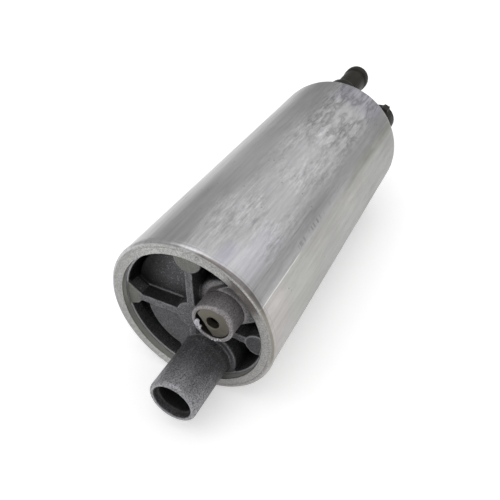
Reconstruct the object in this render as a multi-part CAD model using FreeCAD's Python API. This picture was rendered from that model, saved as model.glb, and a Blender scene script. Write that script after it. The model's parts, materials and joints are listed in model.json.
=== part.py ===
"""Electric fuel pump: an inline pump in a rolled aluminium can, 52 mm across.

X runs along the can from the inlet end to the outlet end, +Z is up, and the origin
lies on the can's axis at the middle of its length. All sizes are in millimetres.
Angles are about X, counted from +Y towards +Z.
"""
import FreeCAD
import Part
import math
import os

V = FreeCAD.Vector
X_AXIS = V(1, 0, 0)
PARTS_FOLDER = "parts"
TINY = 1e-6

# Fits and clearances
seat_gap = 0.05
running_gap = 0.04
rotor_gap = 0.08
rotor_end_gap = 0.05
lobe_gap = 0.12
valve_gap = 0.3
valve_seat_gap = 0.08
brush_gap = 0.1
slot_gap = 0.1
air_gap = 0.9
winding_gap = 1.1
screw_head_gap = 0.35
cut_margin = 1.0

# Can
can_radius = 26.0
can_length = 118.0
can_wall = 1.6
inlet_lip_radius = 22.2
inlet_lip_thickness = 2.0
outlet_lip_radius = 21.0
outlet_lip_thickness = 1.8
outlet_shoulder = 2.5
crease_radius = 24.5
crease_width = 0.24
crease_depth = 0.14
shoulder_rounding = 1.35
bead_height = 0.08
bead_width = 1.5
neck_depth = 0.15
neck_width = 0.3

# Inlet cover, a die casting with a ribbed recess
cover_depth = 17.0
skirt_inner_radius = 21.7
pocket_depth = 13.0
rib_rise = 0.3
rib_half_width = 1.2
rib_length = 18.2
hub_radius = 4.8
web_radius = 15.0
web_drop = 0.5
web_start_angle = 285.0
shallow_floor_drop = 4.6
shallow_floor_radius = 20.5
screw_angles = (0.0, 90.0, 186.0)
upper_pad_radius = 4.1
upper_pad_circle = 20.2
side_pad_radius = 3.6
side_pad_circle = 20.3
near_pad_outline = ((16.9, -1.0, 0.3), (18.3, -2.8, 0.5), (22.5, -4.6, 0), (22.5, 5.3, 0),
                    (16.8, 1.4, 0.5))
stay_drop = 1.0

# Inlet nozzle
nozzle_y = -4.1
nozzle_z = -13.75
nozzle_radius = 7.3
nozzle_reach = 17.3
nozzle_root_radius = 7.45
nozzle_root_slope = 1.0
nozzle_tip_rounding = 0.9
nozzle_bore_radius = 5.2
nozzle_mouth_radius = 5.9
nozzle_mouth_depth = 1.8
nozzle_collar = 2.0
collar_drop = 0.35

# Relief valve in its boss
boss_y = -9.95
boss_z = 6.7
boss_radius = 6.15
boss_reach = 3.95
boss_rounding = 0.35
boss_foot_offset = 1.2
boss_foot_radius = 7.55
boss_foot_drop = 2.7
plug_radius = 4.9
plug_thickness = 2.2
plug_recess = 0.5
plug_hole_radius = 1.9
plug_flat_offset = 2.85
plug_flat_angle = -34.0
stake_offset = 4.8
stake_angle = 133.0
stake_slope = 0.9
relief_ball_radius = 3.1
relief_seat_radius = 1.7
relief_seat_depth = 11.5
relief_coil_radius = 2.2
relief_wire_radius = 0.35
relief_turns = 4
relief_travel = 2.0

# Seals
seal_section_radius = 0.85
seal_setback = 8.0
seal_groove_side_gap = 0.3

# Rotor pump
rotor_length = 8.0
inlet_plate_thickness = 2.5
outlet_plate_thickness = 3.5
eccentricity = 1.2
eccentric_angle = 350.0
outer_lobes = 7
lobe_circle_radius = 11.5
lobe_radius = 2.6
outer_rotor_radius = 14.2
profile_points_per_lobe = 12
port_inner_radius = 7.8
port_outer_radius = 11.2
port_half_angle = 65.0
gallery_inner_radius = 7.0
gallery_outer_radius = 13.5
gallery_depth = 2.0
gallery_half_angle = 30.0
screw_radius = 1.6
screw_grip = 7.0
screw_head_radius = 2.9
screw_head_height = 2.0
screw_socket_radius = 1.4
screw_socket_depth = 1.2

# Armature
shaft_radius = 2.5
shaft_end_chamfer = 0.4
core_slots = 8
slot_depth_share = 0.3
slot_radius_share = 0.19
slot_mouth = 1.4
insulator_thickness = 0.8
end_turn_thickness = 6.5
end_turn_inner_radius = 5.5
end_turn_setback = 1.4
end_turn_rounding = 2.4
commutator_radius = 7.0
commutator_inner_radius = 5.2
commutator_length = 9.0
commutator_slit = 0.5
hub_flange_thickness = 3.0
hub_flange_radius = 6.4
coupling_radius = 6.6
coupling_thickness = 4.0
coupling_lift = 0.6
dog_count = 3
dog_circle_radius = 4.4
dog_radius = 1.1
dog_depth = 4.0
dog_gap = 0.1
bush_wall = 1.7
bush_length = 5.0
washer_thickness = 0.8
washer_radius = 4.6

# Stator
flux_ring_wall = 2.2
magnet_thickness = 5.6
magnet_overhang = 2.0
magnet_half_angle = 70.0
clip_thickness = 0.5

# Brush gear
brush_holder_thickness = 8.0
brush_length = 9.0
brush_width = 4.5
brush_depth = 6.0
brush_travel = 2.5
brush_pocket_wall = 3.0
brush_coil_radius = 1.7
brush_wire_radius = 0.22
brush_turns = 4
holder_opening_gap = 1.2

# Outlet cover, moulded plastic, with the outlet nozzle and the connector
outlet_cover_depth = 15.2
outlet_cover_floor = 7.2
outlet_skirt_wall = 2.6
bush_boss_wall = 2.2
plateau_gap = 0.4
plateau_rise = 0.6
outlet_y = 1.3
outlet_z = 17.3
outlet_foot_radius = 6.4
outlet_foot_reach = 9.0
outlet_foot_gap = 0.3
outlet_foot_slope = 1.2
outlet_neck_radius = 4.9
outlet_tip_reach = 28.7
outlet_bead_radius = 5.3
outlet_bead_length = 6.2
outlet_bead_slope = 1.4
outlet_tip_rounding = 2.2
outlet_bore_radius = 3.0
check_seat_thickness = 2.5
check_seat_hole_radius = 2.0
check_ball_radius = 3.5
check_coil_radius = 3.2
check_wire_radius = 0.35
check_turns = 5
check_spring_length = 8.2
check_travel = 3.0

# Connector shroud and its two blades
socket_y = -15.7
socket_z = 9.9
socket_radius = 6.0
socket_wall = 1.1
socket_reach = 8.6
key_angle = 112.0
key_height = 0.6
key_width = 2.4
key_length = 5.0
blade_width = 2.6
blade_thickness = 0.8
blade_spacing = 5.0
blade_inset = 0.9
blade_reach = 6.6
blade_root = 4.0

# Places along the axis, from the rolled lips inwards
inlet_end = -can_length / 2
outlet_end = can_length / 2
can_inner_radius = can_radius - can_wall
liner_radius = can_inner_radius - seat_gap
cover_face = inlet_end + inlet_lip_thickness
cover_back = cover_face + cover_depth
pocket_floor = cover_face + pocket_depth
rib_top = cover_face - rib_rise
ring_start = cover_back + inlet_plate_thickness
ring_end = ring_start + rotor_length
plate_end = ring_end + outlet_plate_thickness
outlet_cover_back = outlet_end - outlet_lip_thickness
outlet_cover_face = outlet_cover_back - outlet_cover_depth
outlet_floor_start = outlet_cover_back - outlet_cover_floor
holder_start = outlet_cover_face - brush_holder_thickness
brush_centre_x = holder_start + brush_holder_thickness / 2
stator_centre_x = (plate_end + holder_start) / 2
core_start = (plate_end + coupling_lift + coupling_thickness + winding_gap + end_turn_thickness
              + insulator_thickness)
core_end = 2 * stator_centre_x - core_start
magnet_start = core_start - magnet_overhang
magnet_end = core_end + magnet_overhang
commutator_start = brush_centre_x - commutator_length / 2
commutator_end = commutator_start + commutator_length
outlet_bush_start = outlet_floor_start - bush_length
outlet_bush_end = outlet_floor_start
drive_bush_end = ring_start - rotor_end_gap
drive_bush_start = drive_bush_end - bush_length
shaft_bore_radius = shaft_radius + running_gap
bush_outer_radius = shaft_radius + bush_wall

# Places across the axis
nozzle_centre = (nozzle_y, nozzle_z)
boss_centre = (boss_y, boss_z)
boss_foot_centre = (boss_y + boss_foot_offset, boss_z)
outlet_centre = (outlet_y, outlet_z)
socket_centre = (socket_y, socket_z)
blades_share = 1 - blade_inset / math.hypot(socket_y, socket_z)
blades_y = socket_y * blades_share
blades_z = socket_z * blades_share
nozzle_tip = inlet_end - nozzle_reach
boss_face = inlet_end - boss_reach
plug_face = boss_face + plug_recess
plug_back = plug_face + plug_thickness
relief_seat = plug_back + relief_seat_depth
relief_bore_radius = relief_ball_radius + valve_gap
check_bore_radius = check_ball_radius + valve_gap
flux_inner_radius = liner_radius - flux_ring_wall
screw_circle_radius = flux_inner_radius - screw_head_radius - screw_head_gap
magnet_outer_radius = flux_inner_radius - seat_gap
magnet_inner_radius = magnet_outer_radius - magnet_thickness
core_radius = magnet_inner_radius - air_gap
slot_depth = core_radius * slot_depth_share
slot_radius = core_radius * slot_radius_share
slot_circle_radius = core_radius - slot_depth
end_turn_outer_radius = core_radius - end_turn_setback
ring_bore_radius = outer_rotor_radius + rotor_gap
inner_lobes = outer_lobes - 1
rotor_centre = (
    -eccentricity * math.cos(math.radians(eccentric_angle)),
    -eccentricity * math.sin(math.radians(eccentric_angle)),
)


def cylinder(x_from, x_to, radius, centre=(0, 0)):
    """A round bar along X."""
    return Part.makeCylinder(radius, x_to - x_from, V(x_from, *centre), X_AXIS)


def ring(x_from, x_to, outer_radius, inner_radius, centre=(0, 0)):
    """A tube along X."""
    return cylinder(x_from, x_to, outer_radius, centre).cut(
        cylinder(x_from - cut_margin, x_to + cut_margin, inner_radius, centre)
    )


def block(x_from, x_to, y_from, y_to, z_from, z_to):
    """A box from its two corners."""
    return Part.makeBox(x_to - x_from, y_to - y_from, z_to - z_from, V(x_from, y_from, z_from))


def turn(shape, angle):
    """The shape turned about the can's axis."""
    return shape.rotated(V(0, 0, 0), X_AXIS, angle)


def rounded_face(corners, place):
    """A flat face through corners (u, v, rounding), put into space by place."""
    spans = []
    for index, (u, v, rounding) in enumerate(corners):
        here = V(u, v, 0)
        before = V(*corners[index - 1][:2], 0) - here
        after = V(*corners[(index + 1) % len(corners)][:2], 0) - here
        before.normalize()
        after.normalize()
        half_angle = before.getAngle(after) / 2
        reach = rounding / math.tan(half_angle)
        inward = before + after
        inward.normalize()
        middle = here + inward * (rounding / math.sin(half_angle) - rounding)
        spans.append((here + before * reach, middle, here + after * reach))
    edges = []
    for index, (start, middle, end) in enumerate(spans):
        last = spans[index - 1][2]
        if last.distanceToPoint(start) > TINY:
            edges.append(Part.makeLine(place(last), place(start)))
        if start.distanceToPoint(end) > TINY:
            edges.append(Part.Arc(place(start), place(middle), place(end)).toShape())
    return Part.Face(Part.Wire(edges))


def turned(profile, centre=(0, 0)):
    """A lathe part about X from its outline of (x, radius, rounding)."""
    face = rounded_face(profile, lambda p: V(p.x, 0, p.y))
    solid = face.revolve(V(0, 0, 0), X_AXIS, 360)
    return solid.translated(V(0, *centre))


def prism(corners, x_from, x_to):
    """A straight bar along X from its outline of (y, z, rounding)."""
    face = rounded_face(corners, lambda p: V(x_from, p.x, p.y))
    return face.extrude(V(x_to - x_from, 0, 0))


def polar(radius, angle):
    """The y and z of a point at a radius and an angle."""
    return (radius * math.cos(math.radians(angle)), radius * math.sin(math.radians(angle)))


def sector(x_from, x_to, inner_radius, outer_radius, start_angle, end_angle):
    """A curved block between two radii and two angles."""
    middle_angle = (start_angle + end_angle) / 2

    def spot(radius, angle):
        return V(x_from, *polar(radius, angle))

    edges = [Part.Arc(spot(outer_radius, start_angle), spot(outer_radius, middle_angle),
                      spot(outer_radius, end_angle)).toShape(),
             Part.makeLine(spot(outer_radius, end_angle), spot(inner_radius, end_angle)),
             Part.Arc(spot(inner_radius, end_angle), spot(inner_radius, middle_angle),
                      spot(inner_radius, start_angle)).toShape(),
             Part.makeLine(spot(inner_radius, start_angle), spot(outer_radius, start_angle))]
    return Part.Face(Part.Wire(edges)).extrude(V(x_to - x_from, 0, 0))


def joined(shapes):
    """The shapes fused into one clean solid."""
    whole = shapes[0].multiFuse(shapes[1:]) if len(shapes) > 1 else shapes[0]
    return whole.removeSplitter()


def ball(centre_x, radius, centre):
    """A ball on a valve's axis."""
    return Part.makeSphere(radius, V(centre_x, *centre), X_AXIS)


def biarc(start, start_heading, end, end_heading):
    """Two arcs that run smoothly from one point and heading to another."""
    gap = end - start
    both = start_heading + end_heading
    spread = 2 * (1 - start_heading.dot(end_heading))
    along = gap.dot(both)
    reach = (math.sqrt(along * along + spread * gap.dot(gap)) - along) / spread
    first_apex = start + start_heading * reach
    second_apex = end - end_heading * reach
    meeting = (first_apex + second_apex) / 2
    edges = []
    for one, apex, other in ((start, first_apex, meeting), (meeting, second_apex, end)):
        chord_middle = (one + other) / 2
        half_chord = chord_middle.distanceToPoint(one)
        rise = apex - chord_middle
        turn_angle = math.atan2(rise.Length, half_chord)
        crown = chord_middle + rise / rise.Length * (half_chord * math.tan(turn_angle / 2))
        edges.append(Part.Arc(one, crown, other).toShape())
    return edges


def coil_spring(name, length, coil_radius, wire_radius, turns):
    """A wire spring wound along +X, between x = 0 and x = length."""
    pitch = (length - 2 * wire_radius) / turns

    def spot(count):
        return V(wire_radius + pitch * count, *polar(coil_radius, 360 * count))

    def heading(count):
        sideways = 2 * math.pi * coil_radius
        direction = V(pitch, *(sideways * part for part in polar(1, 360 * count + 90)))
        return direction.normalize()

    steps = 4 * turns
    tail = 2 * wire_radius
    start = spot(0) - heading(0) * tail
    edges = [Part.makeLine(start, spot(0))]
    for step in range(steps):
        edges += biarc(spot(step / 4), heading(step / 4), spot((step + 1) / 4), heading((step + 1) / 4))
    edges.append(Part.makeLine(spot(turns), spot(turns) + heading(turns) * tail))
    path = Part.Wire(edges)
    section = Part.Wire(Part.makeCircle(wire_radius, start, heading(0)))
    spring = path.makePipeShell([section], True, False)
    least_gap = min(spot(step / 16).distanceToPoint(spot(step / 16 + 1 + shift / 64))
                    for step in range(16 * (turns - 1)) for shift in range(-4, 5)) - 2 * wire_radius
    print(f"{name}: {turns} turns, least gap between turns {least_gap:.2f} mm")
    return spring


def seal(centre_x):
    """A round rubber ring between a cover and the can."""
    mean_radius = can_inner_radius - seat_gap - seal_section_radius
    return Part.makeTorus(mean_radius, seal_section_radius, V(centre_x, 0, 0), X_AXIS)


def seal_groove(centre_x):
    """The groove that a seal lies in."""
    half = seal_section_radius + seal_groove_side_gap
    root = can_inner_radius - 2 * (seal_section_radius + seat_gap)
    return ring(centre_x - half, centre_x + half, can_radius, root)


def make_can():
    """The drawn can with both ends rolled in over the covers."""
    bead_radius = can_radius + bead_height
    neck_start = inlet_end + bead_width
    neck_radius = can_radius - neck_depth
    body_start = neck_start + neck_width
    return turned([
        (inlet_end, inlet_lip_radius, 0.25),
        (inlet_end, crease_radius - crease_width / 2, 0),
        (inlet_end + crease_depth, crease_radius, 0),
        (inlet_end, crease_radius + crease_width / 2, 0),
        (inlet_end, bead_radius, shoulder_rounding),
        (neck_start, bead_radius, 0),
        (neck_start, neck_radius, 0),
        (body_start, neck_radius, 0),
        (body_start, can_radius, 0),
        (outlet_end, can_radius, outlet_shoulder),
        (outlet_end, outlet_lip_radius, 0.6),
        (outlet_cover_back, outlet_lip_radius, 0),
        (outlet_cover_back, can_inner_radius, 0),
        (cover_face, can_inner_radius, 0),
        (cover_face, inlet_lip_radius, 0),
    ])


def rib(angle, length, top):
    """A straight rib from the hub outwards, down to the pocket floor."""
    return turn(block(top, pocket_floor, 0, length, -rib_half_width, rib_half_width), angle)


def pads():
    """The three pads at the skirt, one over each pump screw."""
    near_angle, upper_angle, side_angle = screw_angles
    near_pad = prism(near_pad_outline, rib_top, pocket_floor)
    return [turn(near_pad, near_angle),
            cylinder(rib_top, pocket_floor, upper_pad_radius, polar(upper_pad_circle, upper_angle)),
            cylinder(rib_top, pocket_floor, side_pad_radius, polar(side_pad_circle, side_angle))]


def stake_cut():
    """The wedge that the staking takes off the boss's rim, down its slope."""
    far = boss_radius + cut_margin
    rise = stake_slope * (far - stake_offset)
    outline = [V(boss_face, 0, stake_offset), V(boss_face + rise, 0, far),
               V(boss_face - cut_margin, 0, far),
               V(boss_face - cut_margin, 0, stake_offset - cut_margin / stake_slope)]
    edges = [Part.makeLine(point, outline[index - 1]) for index, point in enumerate(outline)]
    wedge = Part.Face(Part.Wire(edges)).extrude(V(0, 2 * far, 0)).translated(V(0, -far, 0))
    return turn(wedge, stake_angle - 90).translated(V(0, *boss_centre))


def make_inlet_cover():
    """The cast inlet cover: ribbed recess, inlet nozzle and relief valve boss.

    The casting is one piece. It is written as three solids that meet at the ribs' tops, so
    that the nozzle and the boss each get simple collision pieces of their own.
    """
    collar_radius = nozzle_radius + nozzle_collar
    reach = skirt_inner_radius + seat_gap
    shell = cylinder(cover_face, cover_back, liner_radius)
    shell = shell.cut(cylinder(cover_face - cut_margin, pocket_floor, skirt_inner_radius))
    shallow_floor = rib_top + shallow_floor_drop
    inside = [cylinder(rib_top, pocket_floor, hub_radius),
              sector(shallow_floor, pocket_floor, hub_radius / 2, shallow_floor_radius, 0, 90),
              sector(rib_top + web_drop, pocket_floor, hub_radius / 2, web_radius,
                     web_start_angle, 360)]
    for angle in screw_angles + (270,):
        inside.append(rib(angle, rib_length, rib_top))
    stay = block(rib_top + stay_drop, pocket_floor, math.hypot(*boss_centre), reach,
                 -boss_radius, boss_radius)
    inside.append(turn(stay, math.degrees(math.atan2(boss_z, boss_y))))
    core = joined(inside + pads()).common(cylinder(rib_top - cut_margin, cover_back, reach))
    nozzle = turned([
        (nozzle_tip, 0, 0),
        (nozzle_tip, nozzle_radius, nozzle_tip_rounding),
        (inlet_end - nozzle_root_slope, nozzle_radius, 0),
        (inlet_end, nozzle_root_radius, 0),
        (rib_top + collar_drop, nozzle_root_radius, 0),
        (rib_top + collar_drop, collar_radius, 0.3),
        (pocket_floor, collar_radius, 0),
        (pocket_floor, 0, 0),
    ], nozzle_centre)
    boss = turned([
        (boss_face, 0, 0),
        (boss_face, boss_radius, boss_rounding),
        (pocket_floor, boss_radius, 0),
        (pocket_floor, 0, 0),
    ], boss_centre)
    boss_foot = turned([
        (rib_top + boss_foot_drop, 0, 0),
        (rib_top + boss_foot_drop, boss_foot_radius, 0.8),
        (pocket_floor, boss_foot_radius, 0),
        (pocket_floor, 0, 0),
    ], boss_foot_centre)
    cover = joined([shell, core, nozzle, boss, boss_foot])
    suction_angle = math.degrees(math.atan2(nozzle_z, nozzle_y))
    cuts = [cylinder(nozzle_tip - cut_margin, cover_back + cut_margin, nozzle_bore_radius, nozzle_centre),
            cylinder(nozzle_tip - cut_margin, nozzle_tip + nozzle_mouth_depth,
                     nozzle_mouth_radius, nozzle_centre),
            sector(cover_back - gallery_depth, cover_back + cut_margin, gallery_inner_radius,
                   gallery_outer_radius, suction_angle - gallery_half_angle,
                   suction_angle + gallery_half_angle),
            stake_cut(),
            cylinder(boss_face - cut_margin, plug_back, plug_radius + slot_gap, boss_centre),
            cylinder(boss_face, relief_seat, relief_bore_radius, boss_centre),
            cylinder(boss_face, cover_back + cut_margin, relief_seat_radius, boss_centre),
            cylinder(drive_bush_start - seat_gap, cover_back + cut_margin,
                     bush_outer_radius + seat_gap),
            seal_groove(cover_face + seal_setback)]
    for angle in screw_angles:
        cuts.append(cylinder(cover_back - screw_grip, cover_back + cut_margin,
                             screw_radius + seat_gap, polar(screw_circle_radius, angle)))
    cover = drilled(cover, cuts).removeSplitter()
    stubs = block(nozzle_tip - cut_margin, rib_top, -can_radius, can_radius, -can_radius, can_radius)
    return Part.makeCompound([cover.cut(stubs)] + cover.common(stubs).Solids)


def make_relief_plug():
    """The staked plug, a disc with a flat side and a drilled hole."""
    plug = ring(plug_face, plug_back, plug_radius, plug_hole_radius)
    flat = block(plug_face - cut_margin, plug_back + cut_margin, plug_flat_offset,
                 can_radius, -can_radius, can_radius)
    return plug.cut(turn(flat, plug_flat_angle)).translated(V(0, *boss_centre))


def spring_standoff(ball_radius, coil_radius, wire_radius):
    """How far from a ball's centre its spring's end lies, with the wire just off the ball."""
    reach = ball_radius + wire_radius + seat_gap
    return math.sqrt(reach**2 - coil_radius**2) - wire_radius


def relief_ball_x():
    """Where the relief ball's centre rests, just off its seat."""
    return relief_seat - math.sqrt(relief_ball_radius**2 - relief_seat_radius**2) - valve_seat_gap


def make_relief_ball():
    return ball(relief_ball_x(), relief_ball_radius, boss_centre)


def make_relief_spring():
    """The spring between the plug and the relief ball."""
    standoff = spring_standoff(relief_ball_radius, relief_coil_radius, relief_wire_radius)
    length = relief_ball_x() - standoff - plug_back - seat_gap
    spring = coil_spring("relief_spring", length, relief_coil_radius, relief_wire_radius, relief_turns)
    return spring.translated(V(plug_back + seat_gap, *boss_centre))


def port(x_from, x_to, middle_angle):
    """A kidney port through a pump plate."""
    return sector(x_from - cut_margin, x_to + cut_margin, port_inner_radius, port_outer_radius,
                  middle_angle - port_half_angle, middle_angle + port_half_angle)


def screw_holes(x_from, x_to):
    """The clearance holes for the three pump screws."""
    return [cylinder(x_from - cut_margin, x_to + cut_margin, screw_radius + seat_gap,
                     polar(screw_circle_radius, angle)) for angle in screw_angles]


def drilled(solid, cuts):
    """The solid with each tool cut out of it."""
    for tool in cuts:
        solid = solid.cut(tool)
    return solid


def make_pump_inlet_plate():
    """The port plate on the suction side, which also holds a bush."""
    plate = ring(cover_back, ring_start, liner_radius, bush_outer_radius + seat_gap)
    relief_port = cylinder(cover_back - cut_margin, ring_start + cut_margin,
                           relief_seat_radius, boss_centre)
    return drilled(plate, [port(cover_back, ring_start, eccentric_angle - 90), relief_port]
                   + screw_holes(cover_back, ring_start))


def make_eccentric_ring():
    """The pump ring, whose bore is set off the shaft's axis."""
    body = cylinder(ring_start, ring_end, liner_radius)
    bore = cylinder(ring_start - cut_margin, ring_end + cut_margin, ring_bore_radius, rotor_centre)
    return drilled(body, [bore] + screw_holes(ring_start, ring_end))


def make_outer_rotor():
    """The outer rotor: a ring with round lobes inside."""
    x_from = ring_start + rotor_end_gap
    x_to = ring_end - rotor_end_gap
    hollow = lobe_circle_radius - lobe_radius + 2 * (eccentricity + lobe_gap)
    lobes = [cylinder(x_from, x_to, lobe_radius, polar(lobe_circle_radius, 360 * i / outer_lobes))
             for i in range(outer_lobes)]
    body = joined([ring(x_from, x_to, outer_rotor_radius, hollow)] + lobes)
    body = body.common(cylinder(x_from, x_to, outer_rotor_radius))
    return turn(body, eccentric_angle).translated(V(0, *rotor_centre))


def inner_rotor_point(angle):
    """A point of the inner rotor's outline, the path that clears every outer lobe."""
    radius = lobe_radius + lobe_gap
    turns = (1 - outer_lobes) * angle
    lean = math.atan2(math.sin(turns), lobe_circle_radius / (eccentricity * outer_lobes) - math.cos(turns))
    y = (lobe_circle_radius * math.cos(angle) - radius * math.cos(angle + lean)
         - eccentricity * math.cos(outer_lobes * angle))
    z = (-lobe_circle_radius * math.sin(angle) + radius * math.sin(angle + lean)
         + eccentricity * math.sin(outer_lobes * angle))
    return V(0, y, z)


def dog_places():
    """Where the drive dogs sit around the shaft."""
    return [polar(dog_circle_radius, 360 * i / dog_count) for i in range(dog_count)]


def make_inner_rotor():
    """The inner rotor, one lobe fewer than the outer, driven by the dogs."""
    count = profile_points_per_lobe * inner_lobes
    points = [inner_rotor_point(2 * math.pi * i / count) for i in range(count)]
    curve = Part.BSplineCurve()
    curve.interpolate(Points=points, PeriodicFlag=True)
    x_from = ring_start + rotor_end_gap
    x_to = ring_end - rotor_end_gap
    face = Part.Face(Part.Wire(curve.toShape()))
    body = turn(face.extrude(V(x_to - x_from, 0, 0)), eccentric_angle).translated(V(x_from, 0, 0))
    cuts = [cylinder(x_from - cut_margin, x_to + cut_margin, shaft_bore_radius)]
    for place in dog_places():
        cuts.append(cylinder(x_to - dog_depth - slot_gap, x_to + cut_margin,
                             dog_radius + dog_gap, place))
    return drilled(body, cuts)


def make_pump_outlet_plate():
    """The port plate on the pressure side."""
    hole = dog_circle_radius + dog_radius + valve_gap
    plate = ring(ring_end, plate_end, liner_radius, hole)
    return drilled(plate, [port(ring_end, plate_end, eccentric_angle + 90)]
                   + screw_holes(ring_end, plate_end))


def make_pump_screws():
    """Three socket screws that clamp the pump to the inlet cover."""
    screws = []
    for angle in screw_angles:
        place = polar(screw_circle_radius, angle)
        shank = cylinder(cover_back - screw_grip + seat_gap, plate_end, screw_radius, place)
        head = cylinder(plate_end, plate_end + screw_head_height, screw_head_radius, place)
        socket = prism([(*(p + c for p, c in zip(polar(screw_socket_radius, 60 * i), place)), 0)
                        for i in range(6)],
                       plate_end + screw_head_height - screw_socket_depth,
                       plate_end + screw_head_height + cut_margin)
        screws.append(joined([shank, head]).cut(socket))
    return Part.makeCompound(screws)


def make_drive_coupling():
    """The plastic coupling whose dogs drive the inner rotor."""
    x_from = plate_end + coupling_lift
    body = cylinder(x_from, x_from + coupling_thickness, coupling_radius)
    dogs = [cylinder(ring_end - rotor_end_gap - dog_depth, x_from + dog_radius, dog_radius, place)
            for place in dog_places()]
    bore = cylinder(plate_end - can_length, plate_end + can_length, shaft_radius)
    return joined([body] + dogs).cut(bore)


def make_shaft():
    """The armature shaft from bush to bush."""
    x_from = drive_bush_start + washer_thickness
    x_to = outlet_bush_end - seat_gap
    return turned([
        (x_from, 0, 0),
        (x_from, shaft_radius - shaft_end_chamfer, 0),
        (x_from + shaft_end_chamfer, shaft_radius, 0),
        (x_to - shaft_end_chamfer, shaft_radius, 0),
        (x_to, shaft_radius - shaft_end_chamfer, 0),
        (x_to, 0, 0),
    ])


def slotted_disc(x_from, x_to, radius):
    """A lamination stack with its winding slots."""
    body = ring(x_from, x_to, radius, shaft_radius)
    for i in range(core_slots):
        slot = cylinder(x_from - cut_margin, x_to + cut_margin, slot_radius, (slot_circle_radius, 0))
        mouth = block(x_from - cut_margin, x_to + cut_margin, slot_circle_radius,
                      can_radius, -slot_mouth / 2, slot_mouth / 2)
        body = body.cut(turn(slot.fuse(mouth), 360 * i / core_slots))
    return body


def make_core():
    return slotted_disc(core_start, core_end, core_radius)


def make_insulators():
    """The fibre discs at both faces of the core."""
    radius = core_radius - insulator_thickness
    return Part.makeCompound([
        slotted_disc(core_start - insulator_thickness, core_start, radius),
        slotted_disc(core_end, core_end + insulator_thickness, radius),
    ])


def make_windings():
    """The copper windings: bars in the slots, end turns at both faces."""
    near = core_start - insulator_thickness
    far = core_end + insulator_thickness
    pieces = []
    for inner, outer in ((near, near - end_turn_thickness), (far, far + end_turn_thickness)):
        pieces.append(turned([
            (inner, end_turn_inner_radius, 0),
            (outer, end_turn_inner_radius, end_turn_rounding),
            (outer, end_turn_outer_radius, end_turn_rounding),
            (inner, end_turn_outer_radius, 0),
        ]))
    for i in range(core_slots):
        bar = cylinder(near - cut_margin, far + cut_margin, slot_radius - slot_gap,
                       (slot_circle_radius, 0))
        pieces.append(turn(bar, 360 * i / core_slots))
    return joined(pieces)


def make_commutator():
    """The copper segments around their hub, one for each slot of the core."""
    band = ring(commutator_start, commutator_end, commutator_radius, commutator_inner_radius)
    for i in range(core_slots):
        slit = block(commutator_start - cut_margin, commutator_end + cut_margin, 0, can_radius,
                     -commutator_slit / 2, commutator_slit / 2)
        band = band.cut(turn(slit, 360 * (i + 0.5) / core_slots))
    return band


def make_commutator_hub():
    """The moulded hub under the segments, with a flange that faces the end turns."""
    windings_end = core_end + insulator_thickness + end_turn_thickness
    hub_start = windings_end + seat_gap
    return turned([
        (hub_start, shaft_radius, 0),
        (hub_start, hub_flange_radius, 0.4),
        (hub_start + hub_flange_thickness, hub_flange_radius, 0.4),
        (hub_start + hub_flange_thickness, commutator_inner_radius, 0),
        (commutator_end + washer_thickness, commutator_inner_radius, 0),
        (commutator_end + washer_thickness, shaft_radius, 0),
    ])


def make_bush(x_from):
    """A sintered bush for the shaft."""
    return ring(x_from, x_from + bush_length, bush_outer_radius, shaft_bore_radius)


def make_thrust_washers():
    """The washers that take up end play between the hub and the outlet bush."""
    x_from = commutator_end + washer_thickness + seat_gap
    room = outlet_bush_start - x_from - running_gap
    count = max(1, int(room / (washer_thickness + seat_gap)))
    pitch = room / count
    return Part.makeCompound([
        ring(x_from + i * pitch, x_from + (i + 1) * pitch - seat_gap, washer_radius, shaft_bore_radius)
        for i in range(count)])


def make_flux_ring():
    """The steel tube that carries the magnets and spaces the pump from the brush gear."""
    return ring(plate_end, holder_start, liner_radius, flux_inner_radius)


def make_magnet(middle_angle):
    """A ferrite magnet, one of a pair."""
    return sector(magnet_start, magnet_end, magnet_inner_radius, magnet_outer_radius,
                  middle_angle - magnet_half_angle, middle_angle + magnet_half_angle)


def make_magnet_clips():
    """Two sprung clips that spread the magnets against the flux ring."""
    half = 90 - magnet_half_angle
    gap_angle = math.degrees(seat_gap / magnet_inner_radius)
    wall_angle = math.degrees(clip_thickness / magnet_inner_radius)
    edge = half - gap_angle
    foot = magnet_inner_radius + clip_thickness
    clips = []
    for side in (0, 180):
        back = sector(magnet_start, magnet_end, magnet_outer_radius - clip_thickness,
                      magnet_outer_radius, side - edge, side + edge)
        walls = [sector(magnet_start, magnet_end, foot, magnet_outer_radius,
                        side + start, side + start + wall_angle)
                 for start in (-edge, edge - wall_angle)]
        clips.append(joined([back] + walls))
    return Part.makeCompound(clips)


def brush_pocket_end():
    """How far out from the axis a brush pocket runs."""
    return liner_radius - brush_pocket_wall


def make_brush_holder():
    """The moulded holder with a pocket for each brush."""
    plate = ring(holder_start, outlet_cover_face, liner_radius, commutator_radius + holder_opening_gap)
    half_depth = brush_depth / 2 + brush_gap
    half_width = brush_width / 2 + brush_gap
    cuts = []
    for angle in (90, 270):
        pocket = block(brush_centre_x - half_depth, brush_centre_x + half_depth, 0,
                       brush_pocket_end(), -half_width, half_width)
        cuts.append(turn(pocket, angle))
    for z_offset in (-blade_spacing / 2, blade_spacing / 2):
        cuts.append(blade_slot(z_offset, outlet_cover_face - blade_root, outlet_cover_face + cut_margin))
    return drilled(plate, cuts)


def make_brush(angle):
    """A carbon brush with a hollow end that rides on the commutator."""
    inner = commutator_radius + brush_gap
    body = block(brush_centre_x - brush_depth / 2, brush_centre_x + brush_depth / 2,
                 commutator_radius - cut_margin, inner + brush_length, -brush_width / 2, brush_width / 2)
    return turn(body.cut(cylinder(holder_start, outlet_cover_face, inner)), angle)


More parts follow.
